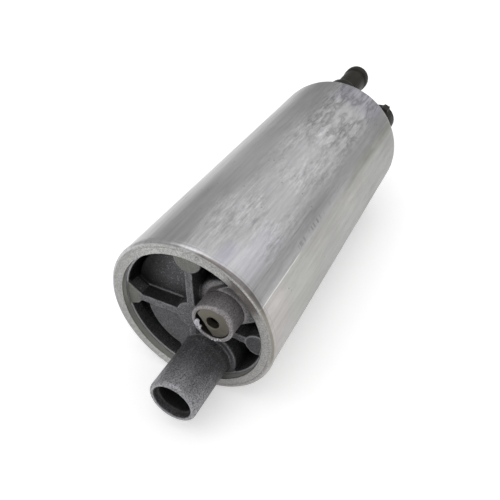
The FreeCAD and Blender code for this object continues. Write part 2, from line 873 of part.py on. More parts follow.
def make_brush_spring(name, angle):
    """The spring that presses a brush inwards."""
    start = commutator_radius + brush_gap + brush_length + seat_gap
    length = brush_pocket_end() - seat_gap - start
    spring = coil_spring(name, length, brush_coil_radius, brush_wire_radius, brush_turns)
    outwards = spring.rotated(V(0, 0, 0), V(0, 0, 1), 90).translated(V(brush_centre_x, start, 0))
    return turn(outwards, angle)


def blade_slot(z_offset, x_from, x_to):
    """The slot that a terminal blade passes through."""
    half_width = blade_width / 2 + seat_gap
    half_thickness = blade_thickness / 2 + seat_gap
    return block(x_from, x_to, blades_y - half_width, blades_y + half_width,
                 blades_z + z_offset - half_thickness, blades_z + z_offset + half_thickness)


def make_blade(z_offset):
    """A terminal blade with a tapered tip, from the brush holder to the connector."""
    x_from = outlet_cover_face - blade_root + seat_gap
    x_to = outlet_end + blade_reach
    half = blade_width / 2
    taper = blade_thickness
    z_low = blades_z + z_offset - blade_thickness / 2
    face = rounded_face([
        (x_from, blades_y - half, 0),
        (x_to - taper, blades_y - half, 0),
        (x_to, blades_y - half + taper, 0),
        (x_to, blades_y + half - taper, 0),
        (x_to - taper, blades_y + half, 0),
        (x_from, blades_y + half, 0),
    ], lambda p: V(p.x, p.y, z_low))
    return face.extrude(V(0, 0, blade_thickness))


def make_outlet_cover():
    """The moulded outlet cover with its nozzle, valve chamber and connector shroud."""
    plateau_radius = outlet_lip_radius - plateau_gap
    plateau_end = outlet_end + plateau_rise
    skirt_inner = liner_radius - outlet_skirt_wall
    foot_start = outlet_end + outlet_foot_gap
    foot_end = outlet_end + outlet_foot_reach
    tip = outlet_end + outlet_tip_reach
    bead_start = tip - outlet_bead_length
    solids = [ring(outlet_cover_face, outlet_floor_start + cut_margin, liner_radius, skirt_inner),
              cylinder(outlet_floor_start, outlet_cover_back, liner_radius),
              cylinder(outlet_cover_back - cut_margin, plateau_end, plateau_radius),
              cylinder(outlet_bush_start, outlet_floor_start + cut_margin,
                       bush_outer_radius + bush_boss_wall)]
    nozzle = turned([
        (foot_start, 0, 0),
        (foot_start, outlet_foot_radius, 0.2),
        (foot_end - outlet_foot_slope, outlet_foot_radius, 0.8),
        (foot_end, outlet_neck_radius, 0.5),
        (bead_start, outlet_neck_radius, 0.8),
        (bead_start + outlet_bead_slope, outlet_bead_radius, 0.8),
        (tip, outlet_bead_radius, outlet_tip_rounding),
        (tip, 0, 0),
    ], outlet_centre)
    shroud_end = outlet_end + socket_reach
    shroud = turned([
        (foot_start, 0, 0),
        (foot_start, socket_radius, 0.2),
        (shroud_end, socket_radius, 0.4),
        (shroud_end, 0, 0),
    ], socket_centre)
    key = block(shroud_end - key_length, shroud_end, socket_radius - socket_wall / 2,
                socket_radius + key_height, -key_width / 2, key_width / 2)
    cover = joined(solids + [nozzle, shroud, turn(key, key_angle).translated(V(0, *socket_centre))])
    chamber_end = check_spring_end()
    cuts = [cylinder(plateau_end, shroud_end + cut_margin, socket_radius - socket_wall, socket_centre),
            cylinder(outlet_floor_start - cut_margin, chamber_end, check_bore_radius, outlet_centre),
            cylinder(outlet_floor_start, tip + cut_margin, outlet_bore_radius, outlet_centre),
            cylinder(outlet_bush_start - cut_margin, outlet_bush_end, bush_outer_radius + seat_gap),
            seal_groove(outlet_cover_back - seal_setback / 2)]
    for z_offset in (-blade_spacing / 2, blade_spacing / 2):
        cuts.append(blade_slot(z_offset, outlet_floor_start - cut_margin, shroud_end + cut_margin))
    return drilled(cover, cuts).removeSplitter()


def check_ball_x():
    """Where the check ball's centre rests, just off its seat."""
    seat = outlet_floor_start + check_seat_thickness
    return seat + math.sqrt(check_ball_radius**2 - check_seat_hole_radius**2) + valve_seat_gap


def check_spring_start():
    """Where the spring meets the check ball."""
    return check_ball_x() + spring_standoff(check_ball_radius, check_coil_radius, check_wire_radius)


def check_spring_end():
    """Where the spring meets the nozzle's shoulder."""
    return check_spring_start() + check_spring_length + seat_gap


def make_check_seat():
    """The brass seat pressed into the valve chamber."""
    return ring(outlet_floor_start, outlet_floor_start + check_seat_thickness,
                check_bore_radius, check_seat_hole_radius, outlet_centre)


def make_check_ball():
    return ball(check_ball_x(), check_ball_radius, outlet_centre)


def make_check_spring():
    spring = coil_spring("check_valve_spring", check_spring_length, check_coil_radius,
                         check_wire_radius, check_turns)
    return spring.translated(V(check_spring_start(), *outlet_centre))


def write_part(name, shape):
    """Writes one node's solids to its STEP file."""
    if not shape.isValid():
        print(f"{name}: not a valid shape")
    shape.exportStep(os.path.join(PARTS_FOLDER, f"{name}.step"))
    print(f"{name}: {len(shape.Solids)} solid(s), {shape.Volume:.0f} mm3")


def main():
    os.makedirs(PARTS_FOLDER, exist_ok=True)
    nodes = {
        "can": make_can(),
        "inlet_cover": make_inlet_cover(),
        "inlet_seal": seal(cover_face + seal_setback),
        "relief_plug": make_relief_plug(),
        "relief_ball": make_relief_ball(),
        "relief_spring": make_relief_spring(),
        "pump_inlet_plate": make_pump_inlet_plate(),
        "eccentric_ring": make_eccentric_ring(),
        "outer_rotor": make_outer_rotor(),
        "inner_rotor": make_inner_rotor(),
        "pump_outlet_plate": make_pump_outlet_plate(),
        "pump_screws": make_pump_screws(),
        "drive_coupling": make_drive_coupling(),
        "drive_end_bush": make_bush(drive_bush_start),
        "commutator_end_bush": make_bush(outlet_bush_start),
        "thrust_washers": make_thrust_washers(),
        "armature_shaft": make_shaft(),
        "armature_core": make_core(),
        "armature_insulators": make_insulators(),
        "armature_windings": make_windings(),
        "commutator": make_commutator(),
        "commutator_hub": make_commutator_hub(),
        "flux_ring": make_flux_ring(),
        "magnet_upper": make_magnet(90),
        "magnet_lower": make_magnet(270),
        "magnet_clips": make_magnet_clips(),
        "brush_holder": make_brush_holder(),
        "brush_upper": make_brush(90),
        "brush_lower": make_brush(270),
        "brush_spring_upper": make_brush_spring("brush_spring_upper", 90),
        "brush_spring_lower": make_brush_spring("brush_spring_lower", 270),
        "outlet_cover": make_outlet_cover(),
        "outlet_seal": seal(outlet_cover_back - seal_setback / 2),
        "check_valve_seat": make_check_seat(),
        "check_valve_ball": make_check_ball(),
        "check_valve_spring": make_check_spring(),
        "terminal_positive": make_blade(blade_spacing / 2),
        "terminal_negative": make_blade(-blade_spacing / 2),
    }
    for name, shape in nodes.items():
        write_part(name, shape)


main()
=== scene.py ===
"""The looks of an inline electric fuel pump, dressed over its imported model.

Lengths are in metres and the frame is the model's own: X runs along the can from the
inlet end to the outlet end, +Z is up, and the origin lies on the can's axis at the
middle of its length. Angles about X count from +Y towards +Z, in degrees.
"""
import json
import math
import bmesh
import bpy
import numpy as np
from mathutils import Matrix, Vector, noise

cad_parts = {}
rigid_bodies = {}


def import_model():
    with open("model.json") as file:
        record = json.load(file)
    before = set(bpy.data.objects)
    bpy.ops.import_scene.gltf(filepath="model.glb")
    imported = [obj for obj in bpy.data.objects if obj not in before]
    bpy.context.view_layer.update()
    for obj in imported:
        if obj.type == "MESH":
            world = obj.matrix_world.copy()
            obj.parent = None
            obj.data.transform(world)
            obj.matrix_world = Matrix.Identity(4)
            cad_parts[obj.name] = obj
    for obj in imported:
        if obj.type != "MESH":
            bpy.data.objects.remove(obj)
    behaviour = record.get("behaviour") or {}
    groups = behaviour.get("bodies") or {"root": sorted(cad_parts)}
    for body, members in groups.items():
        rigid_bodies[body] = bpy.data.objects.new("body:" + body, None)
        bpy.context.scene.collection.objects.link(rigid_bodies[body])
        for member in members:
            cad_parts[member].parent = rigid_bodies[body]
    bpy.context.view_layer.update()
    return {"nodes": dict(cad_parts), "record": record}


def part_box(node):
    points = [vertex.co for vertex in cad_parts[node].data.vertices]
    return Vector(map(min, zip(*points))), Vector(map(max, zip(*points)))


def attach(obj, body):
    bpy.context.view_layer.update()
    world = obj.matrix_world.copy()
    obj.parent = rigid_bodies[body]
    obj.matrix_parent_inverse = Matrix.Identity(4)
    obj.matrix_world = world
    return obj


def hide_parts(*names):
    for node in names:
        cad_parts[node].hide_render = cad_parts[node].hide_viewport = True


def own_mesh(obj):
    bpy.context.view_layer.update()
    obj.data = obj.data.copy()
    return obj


for startup_object in list(bpy.data.objects):
    bpy.data.objects.remove(startup_object)
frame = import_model()

MM = 0.001

# The photograph's view
VIEW_AZIMUTH = -63.33
VIEW_ELEVATION = 38.84
CAMERA_PLACE = Vector((-147.37, -63.45, 111.49)) * MM
LENS = 39.956
SENSOR = 36.0

# The studio's light: how bright the walls are at the horizon and the ceiling above it
HORIZON_LOW = 0.05
HORIZON_HIGH = 0.45
HORIZON_LIGHT = 0.42
SKY_LIGHT = 0.6

# The can, from its lips inwards
CAN_LOW, CAN_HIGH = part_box("can")
INLET_END = CAN_LOW.x
OUTLET_END = CAN_HIGH.x
CAN_RADIUS = 26.0 * MM
CAN_WALL = 1.6 * MM
INLET_LIP_RADIUS = 22.2 * MM
INLET_LIP_THICKNESS = 2.0 * MM
OUTLET_LIP_RADIUS = 21.0 * MM
OUTLET_LIP_THICKNESS = 1.8 * MM
CREASE_RADIUS = 24.5 * MM
CREASE_WIDTH = 0.3 * MM
CREASE_DEPTH = 0.16 * MM
BEAD_RADIUS = CAN_HIGH.z
BEAD_WIDTH = 1.5 * MM
NECK_RADIUS = 25.85 * MM
NECK_WIDTH = 0.35 * MM

# The can's mesh, whose dented skin lies a little inside its solid
CAN_SEGMENTS = 360
LONGEST_STEP = 0.9 * MM
SKIN_SETBACK = 0.08 * MM
RIPPLE_ANGLE = math.radians(110)

# The angles between which the can's crown gives way to its plainer side, which is painted darker as
# shade
SIDE_EDGE = (147.5, 149.5)

# The relief valve boss and its plug, the nozzle, the recess, its ribs and its pads
BOSS_CENTRE = (-9.95 * MM, 6.7 * MM)
BOSS_FACE = -62.95 * MM
BOSS_REACH = 8.0 * MM
SEAT_RADIUS = 5.1 * MM
NOZZLE_CENTRE = (-4.1 * MM, -13.75 * MM)
NOZZLE_MOUTH_RADIUS = 5.9 * MM
RIB_TOP = -57.3 * MM
RIB_HALF_WIDTH = 1.2 * MM
SHALLOW_FLOOR = -52.7 * MM
SKIRT_RADIUS = 21.5 * MM
PAD_TOP = (0.0, 20.2 * MM)
PAD_TOP_RADIUS = 3.7 * MM
PAD_RIGHT = (-20.19 * MM, -2.12 * MM)
PAD_RIGHT_RADIUS = 2.9 * MM

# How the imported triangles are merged, how finely the mould-rounded pieces are remeshed,
# and the most triangles of one
MERGE_REACH = 0.001 * MM
COVER_VOXEL = 0.27 * MM
PLUG_VOXEL = 0.13 * MM
OUTLET_VOXEL = 0.4 * MM
MOST_TRIANGLES = 190000

# The floor, and how strongly it is lifted from near the object to far away
FLOOR_HALF = 4.0
LIFT_REACH = (0.25, 0.9)
FLOOR_LIFT = (0.4, 0.65)

SOCKET_KINDS = {float: "Float", int: "Int"}


def linked(name, mesh):
    """A new object in the scene for a mesh or light."""
    made = bpy.data.objects.new(name, mesh)
    bpy.context.scene.collection.objects.link(made)
    return made


def polar(radius, angle):
    """The y and z of a point at a radius and an angle in degrees."""
    return radius * math.cos(math.radians(angle)), radius * math.sin(math.radians(angle))


def smooth_shaded(piece, sharp_angle=None):
    """The piece shaded smooth, with its edges past an angle left sharp."""
    for face in piece.data.polygons:
        face.use_smooth = True
    if sharp_angle is not None:
        piece.data.set_sharp_from_angle(angle=math.radians(sharp_angle))
    return piece


def baked(piece):
    """The piece with its modifiers turned into a plain mesh."""
    graph = bpy.context.evaluated_depsgraph_get()
    mesh = bpy.data.meshes.new_from_object(piece.evaluated_get(graph))
    piece.modifiers.clear()
    old = piece.data
    piece.data = mesh
    bpy.data.meshes.remove(old)
    return piece


def rounded_line(corners, steps):
    """The points of a closed outline of (x, radius, reach) with its corners eased off."""
    points = []
    for index, (x, radius, reach) in enumerate(corners):
        here = Vector((x, radius))
        if reach == 0:
            points.append(here)
            continue
        before = (Vector(corners[index - 1][:2]) - here).normalized()
        after = (Vector(corners[(index + 1) % len(corners)][:2]) - here).normalized()
        start, end = here + before * reach, here + after * reach
        for step in range(steps + 1):
            share = step / steps
            points.append(start.lerp(here, share).lerp(here.lerp(end, share), share))
    return points


def divided(points, longest):
    """The closed outline with extra points wherever a stretch of the outside is long."""
    result = []
    for here, after in zip(points, points[1:] + points[:1]):
        outside = min(here.y, after.y) > INLET_LIP_RADIUS + CAN_WALL
        limit = longest if outside and here.y > CAN_RADIUS - CAN_WALL / 2 else 8 * longest
        count = max(1, math.ceil((after - here).length / limit))
        result += [here.lerp(after, step / count) for step in range(count)]
    return result


def lathe(name, outline, segments):
    """A ring turned about the X axis from a closed outline that stays off the axis."""
    verts = []
    for segment in range(segments):
        for point in outline:
            verts.append((point.x, *polar(point.y, 360 * segment / segments)))
    count = len(outline)
    faces = []
    for segment in range(segments):
        this, other = segment * count, (segment + 1) % segments * count
        for row in range(count):
            after = (row + 1) % count
            faces.append((this + row, other + row, other + after, this + after))
    mesh = bpy.data.meshes.new(name)
    mesh.from_pydata(verts, [], faces)
    piece = linked(name, mesh)
    edited(piece, lambda work: bmesh.ops.recalc_face_normals(work, faces=work.faces))
    return smooth_shaded(piece)


def edited(piece, change):
    """The piece after a change to its mesh, such as its faces turned outwards."""
    work = bmesh.new()
    work.from_mesh(piece.data)
    change(work)
    work.to_mesh(piece.data)
    work.free()
    return piece


def softened_copy(name, node, voxel, rounds):
    """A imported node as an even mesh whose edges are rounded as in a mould."""
    piece = linked(name, frame["nodes"][node].data.copy())
    piece.data.materials.clear()
    edited(piece, lambda work: bmesh.ops.remove_doubles(work, verts=work.verts, dist=MERGE_REACH))
    remesh = piece.modifiers.new("even", "REMESH")
    remesh.mode = "VOXEL"
    remesh.voxel_size = voxel
    smooth = piece.modifiers.new("soft", "SMOOTH")
    smooth.factor = 0.5
    smooth.iterations = rounds
    return smooth_shaded(baked(piece))


def thinned(piece, triangles):
    """The piece with its flat parts thinned out until it has few enough triangles."""
    now = 2 * len(piece.data.polygons)
    if now > triangles:
        decimate = piece.modifiers.new("thin", "DECIMATE")
        decimate.ratio = triangles / now
        smooth_shaded(baked(piece))
    return piece


def mark_edges(piece, rounds=3):
    """Stores how far each point stands out from its neighbours as the attribute edge."""
    mesh = piece.data
    count = len(mesh.vertices)
    places = np.empty(3 * count)
    normals = np.empty(3 * count)
    mesh.vertices.foreach_get("co", places)
    mesh.vertices.foreach_get("normal", normals)
    places, normals = places.reshape(-1, 3), normals.reshape(-1, 3)
    ends = np.empty(2 * len(mesh.edges), dtype=np.int32)
    mesh.edges.foreach_get("vertices", ends)
    ends = ends.reshape(-1, 2)
    degree = np.maximum(np.bincount(ends.ravel(), minlength=count), 1)

    def neighbours(values):
        total = np.zeros_like(values)
        np.add.at(total, ends[:, 0], values[ends[:, 1]])
        np.add.at(total, ends[:, 1], values[ends[:, 0]])
        return total / degree.reshape(-1, *[1] * (values.ndim - 1))

    length = np.linalg.norm(places[ends[:, 0]] - places[ends[:, 1]], axis=1).mean()
    bulge = ((places - neighbours(places)) * normals).sum(axis=1) / length
    for _ in range(rounds):
        bulge = (bulge + neighbours(bulge)) / 2
    mesh.attributes.new("edge", "FLOAT", "POINT").data.foreach_set("value", bulge)
    return piece


def roughened(piece, depth_at):
    """The piece with each point moved along its normal by depth_at(place)."""
    normals = [vertex.normal.copy() for vertex in piece.data.vertices]
    for vertex, normal in zip(piece.data.vertices, normals):
        vertex.co += normal * depth_at(vertex.co)
    return piece


class Surface:
    """A material or a node group while its nodes are placed and wired."""

    def __init__(self, tree):
        self.tree = tree

    def put(self, kind, out=0, settings=None, **inputs):
        """Places a node, sets it up and gives one of its outputs."""
        node = self.tree.nodes.new(kind)
        for key, value in (settings or {}).items():
            setattr(node, key, value)
        for key, value in inputs.items():
            self.feed(node, key.replace("_", " "), value)
        return node.outputs[out]

    def feed(self, node, key, value):
        """Sets an input, named or numbered, to a value or wires a socket into it."""
        key = int(key[1:]) if key[:1] == "n" and key[1:].isdigit() else key
        if isinstance(value, bpy.types.NodeSocket):
            self.tree.links.new(value, node.inputs[key])
        else:
            node.inputs[key].default_value = value

    def maths(self, operation, first, second=0.5, clamp=False):
        return self.put("ShaderNodeMath", settings={"operation": operation, "use_clamp": clamp},
                        n0=first, n1=second)

    def chained(self, operation, values):
        """One operation from value to value."""
        result = values[0]
        for value in values[1:]:
            result = self.maths(operation, result, value)
        return result

    def plus(self, *values):
        return self.chained("ADD", values)

    def times(self, *values):
        return self.chained("MULTIPLY", values)

    def minus(self, first, second):
        return self.maths("SUBTRACT", first, second)

    def vector_maths(self, operation, first, out=0, **inputs):
        return self.put("ShaderNodeVectorMath", out=out, settings={"operation": operation},
                        n0=first, **inputs)

    def length(self, vector):
        return self.vector_maths("LENGTH", vector, out=1)

    def joined(self, x, y, z):
        """A vector from its three parts."""
        return self.put("ShaderNodeCombineXYZ", X=x, Y=y, Z=z)

    def blend(self, factor, first, second):
        """A colour between two colours."""
        return self.put("ShaderNodeMix", out=2, settings={"data_type": "RGBA"},
                        n0=factor, n6=first, n7=second)

    def painted(self, colour, *layers):
        """A colour under layers of (mask, share, colour), the last of them on top."""
        for mask, share, over in layers:
            colour = self.blend(self.times(mask, share), colour, over)
        return colour

    def tinted(self, colour, tint):
        """A colour times a tint."""
        return self.vector_maths("MULTIPLY", colour, n1=tint)

    def steps(self, value, low, high, to_low=0.0, to_high=1.0):
        """A value taken from one span to another, held at its ends."""
        return self.put("ShaderNodeMapRange", Value=value, From_Min=low, From_Max=high,
                        To_Min=to_low, To_Max=to_high)

    def fades(self, value, low, high):
        """A mask that is 1 below a span and 0 above it."""
        return self.steps(value, low, high, 1.0, 0.0)

    def noise(self, vector, scale, detail=2.0, rough=0.5, stretch=None):
        """Noise, with its coordinates scaled first if it has a stretch."""
        if stretch is not None:
            vector = self.put("ShaderNodeMapping", Vector=vector, Scale=stretch)
        return self.put("ShaderNodeTexNoise", Vector=vector, Scale=scale, Detail=detail,
                        Roughness=rough)

    def cells(self, vector, scale, out=0):
        return self.put("ShaderNodeTexVoronoi", out=out, Vector=vector, Scale=scale)

    def parts(self, vector):
        """The three parts of a vector."""
        node = self.tree.nodes.new("ShaderNodeSeparateXYZ")
        self.tree.links.new(vector, node.inputs[0])
        return node.outputs[:]

    def near(self, value, centre, half, soft):
        """A mask that is 1 close to a value and fades to 0 beyond it."""
        away = self.maths("ABSOLUTE", self.minus(value, centre))
        return self.fades(away, half, half + soft)

    def attribute(self, name):
        return self.put("ShaderNodeAttribute", out=2, settings={"attribute_name": name})

    def group(self, made, out, **inputs):
        """Places a shared effect and gives one of its outputs by name."""
        node = self.tree.nodes.new("ShaderNodeGroup")
        node.node_tree = made
        for key, value in inputs.items():
            self.feed(node, key.replace("_", " "), value)
        return node.outputs[out]


def open_tree(name, kind, inputs):
    """An empty shader or geometry tree, and its inputs by name.

    An input is given by its default or, where it has none, by its kind.
    """
    made = bpy.data.node_groups.new(name, kind)
    for title, default in inputs.items():
        holds = SOCKET_KINDS.get(type(default), default)
        socket = made.interface.new_socket(title, in_out="INPUT", socket_type="NodeSocket" + holds)
        if holds != default:
            socket.default_value = default
    return Surface(made), made.nodes.new("NodeGroupInput").outputs


def close_group(work, **outputs):
    """Ends a shader group: its outputs, which are all values."""
    sink = work.tree.nodes.new("NodeGroupOutput")
    for title, value in outputs.items():
        work.tree.interface.new_socket(title, in_out="OUTPUT", socket_type="NodeSocketFloat")
        work.tree.links.new(value, sink.inputs[title])
    return work.tree


def make_grain_group():
    """Grain of a casting or a sintered face, by grains per metre: a height and bright specks."""
    work, given = open_tree("metal grain", "ShaderNodeTree", {
        "Vector": "Vector", "Grains": 2000.0, "Bright share": 0.2})
    coarse = work.noise(given["Vector"], given["Grains"], 3.0, 0.65)
    cell_tone = work.cells(given["Vector"], work.times(given["Grains"], 1.7), out=1)
    tone = work.put("ShaderNodeSeparateColor", Color=cell_tone)
    threshold = work.minus(1.0, given["Bright share"])
    specks = work.steps(tone, threshold, work.plus(threshold, 0.12))
    return close_group(work, Height=work.plus(coarse, work.times(tone, 0.35)), Specks=specks)


def make_rub_group():
    """A mask of rub marks along the can, by marks per metre: thin lines stretched along X."""
    work, given = open_tree("rub marks", "ShaderNodeTree", {
        "Vector": "Vector", "Marks": 1500.0, "Length": 25.0, "Share": 0.3})
    squeeze = work.joined(work.maths("DIVIDE", 1.0, given["Length"]), 1.0, 1.0)
    fine = work.noise(given["Vector"], given["Marks"], 2.0, 0.6, squeeze)
    gate = work.steps(work.noise(given["Vector"], 45.0, 2.0, 0.5), 0.42, 0.68)
    edge = work.minus(0.72, work.times(given["Share"], 0.3))
    return close_group(work, Lines=work.times(work.steps(fine, edge, 0.78), gate))


def make_cloud_group():
    """Handling marks and oxide, by blotches per metre: a soft mask."""
    work, given = open_tree("soft blotches", "ShaderNodeTree", {
        "Vector": "Vector", "Blotches": 60.0})
    cloud = work.noise(given["Vector"], given["Blotches"], 4.0, 0.55)
    return close_group(work, Mask=work.steps(cloud, 0.4, 0.62))


GRAIN = make_grain_group()
RUBS = make_rub_group()
BLOTCHES = make_cloud_group()
RECORD_SLOTS = {entry["slot"]: entry for entry in frame["record"]["materials"]}


def slot_colour(slot, share=1.0):
    """The record's colour of a slot, made lighter or darker."""
    return (*(min(1.0, part * share) for part in RECORD_SLOTS[slot]["base_color"][:3]), 1.0)


def finish(work, name, metallic, colour, roughness, height, bump, **constants):
    """Closes a material: wires colour, roughness and a bump (strength, distance) into its shader."""
    shader = work.tree.nodes["Principled BSDF"]
    work.feed(shader, "Metallic", metallic)
    work.feed(shader, "Base Color", colour)
    work.feed(shader, "Roughness", roughness)
    for key, value in constants.items():
        shader.inputs[key.replace("_", " ")].default_value = value
    strength, distance = bump
    normal = work.put("ShaderNodeBump", Strength=strength, Distance=distance, Height=height)
    work.feed(shader, "Normal", normal)
    return bpy.data.materials[name]


def begin(name):
    """An empty material with its node helper and the object's own coordinates."""
    material = bpy.data.materials.new(name)
    material.use_nodes = True
    work = Surface(material.node_tree)
    place = work.put("ShaderNodeTexCoord", out="Object")
    return work, place


def can_tone(work, place, x, degrees):
    """How much paler or darker the can is at a place: mottle, painted bands of light and shade along
    it, and wrinkles with painted shade and highlights.
    """
    long = (0.2, 1, 1)
    fine = work.noise(place, 1500, 3, 0.7, long)
    middle = work.noise(place, 480, 3, 0.6, long)
    broad = work.noise(place, 130, 3, 0.55, long)
    streaks = work.noise(place, 1000, 3, 0.6, stretch=(0.04, 1, 1))
    worm = work.noise(place, 380, 2, 0.5, stretch=(0.3, 1, 1))
    strokes = work.noise(place, 620, 1, stretch=(1, 0.08, 0.08))
    where = work.noise(place, 95, 2, stretch=(0.5, 1, 1))

    def swing(noise_value, reach):
        return work.times(work.minus(noise_value, 0.5), reach)

    wandering = work.plus(degrees, swing(broad, 30))
    crown = work.times(work.steps(wandering, 86, 92), work.fades(degrees, 131, 138))
    texture = work.plus(swing(fine, 1.15), swing(middle, 0.75))
    texture = work.times(texture, work.steps(crown, 0, 1, 0.35, 1),
                         work.steps(where, 0.42, 0.6, 0.2, 1))
    tone = work.plus(texture, swing(broad, 0.35), swing(streaks, 0.5),
                     work.steps(crown, 0, 1, 1, 1.02))

    # Painted light and shade by angle: a dim band near 76 degrees at both ends, a highlight band near
    # 125 and a dimmer band near 142; the far end is darker.
    far = work.steps(x, 5 * MM, 52 * MM)
    near_and_far = work.maths("MAXIMUM", work.fades(x, -30 * MM, -20 * MM),
                              work.steps(x, 18 * MM, 30 * MM))
    shaded = work.times(near_and_far, work.near(wandering, 76, 8, 5))
    bright = work.times(work.near(degrees, 125, 6, 8), work.fades(x, -50 * MM, -10 * MM))
    dim_band = work.times(work.near(degrees, 142, 5, 5), work.steps(x, -40 * MM, -10 * MM))
    # Painted shade on the lower side.
    lower = work.times(work.steps(degrees, 150, 190), work.fades(degrees, 230, 350))
    rippled = work.times(work.steps(x, 0, 20 * MM), work.near(wandering, 113, 16, 10))
    # Painted shade in the wrinkles' valleys and painted highlights on their domes.
    valley_shade = work.times(work.near(worm, 0.45, 0.01, 0.07), rippled)
    dome_highlight = work.times(work.steps(worm, 0.5, 0.66), rippled)
    score = work.times(work.near(degrees, 137.5, 0.2, 0.5), work.steps(x, -30 * MM, 15 * MM, 1, 0.2),
                       work.steps(middle, 0.35, 0.5))
    ticks = work.times(work.near(degrees, 145, 1.3, 0.6), work.near(x, -21 * MM, 11 * MM, 3 * MM),
                       work.steps(strokes, 0.54, 0.62))
    # A painted glint line where the crown meets the side, near the inlet end.
    glint = work.times(work.near(degrees, 148.3, 0.2, 0.4), work.fades(x, -36 * MM, -32 * MM))
    for mask, share in ((far, 0.8), (work.times(far, crown), 0.88), (shaded, 0.85), (bright, 1.2),
                        (dim_band, 0.94), (lower, 0.66), (valley_shade, 0.74), (dome_highlight, 1.2), (score, 0.78),
                        (ticks, 0.68), (glint, 1.6)):
        tone = work.times(tone, work.steps(mask, 0, 1, 1, share))
    # A painted fall of light along the side: paler near the inlet end, darker further on.
    beside = work.times(work.steps(degrees, *SIDE_EDGE), work.fades(degrees, 200, 300))
    fall = work.steps(x, -45 * MM, -10 * MM, 0.05, -0.07)
    tone = work.times(tone, work.plus(work.times(beside, fall), 1))

    wrinkles = work.times(work.plus(work.times(worm, 2), middle),
                          work.steps(rippled, 0, 1, 0.05, 0.6))
    height = work.plus(wrinkles, work.times(work.plus(streaks, fine), 0.16))
    return tone, crown, height


def lip_face(work, grain, patches, y, radius, degrees):
    """The colour of the can's rolled-in lip: a coarse face with painted shade towards +Y, beside the
    valve boss and low down.
    """
    face = work.blend(work.steps(grain, 0.4, 0.6), (0.28, 0.278, 0.27, 1), (0.52, 0.517, 0.505, 1))
    # Painted shade: beside the valve boss, towards +Y and low down.
    boss_shade = work.times(work.near(degrees, 138, 10, 9), work.steps(patches, 0.2, 0.45, 0.7, 1),
                     work.fades(radius, CREASE_RADIUS, CREASE_RADIUS + 0.4 * MM))
    return work.painted(face, (work.steps(y, 10 * MM, 18 * MM), 0.3, (0.2, 0.198, 0.19, 1)),
                        (boss_shade, 0.85, (0.075, 0.06, 0.055, 1)),
                        (work.near(degrees, 215, 55, 20), 0.35, (0.2, 0.195, 0.185, 1)))


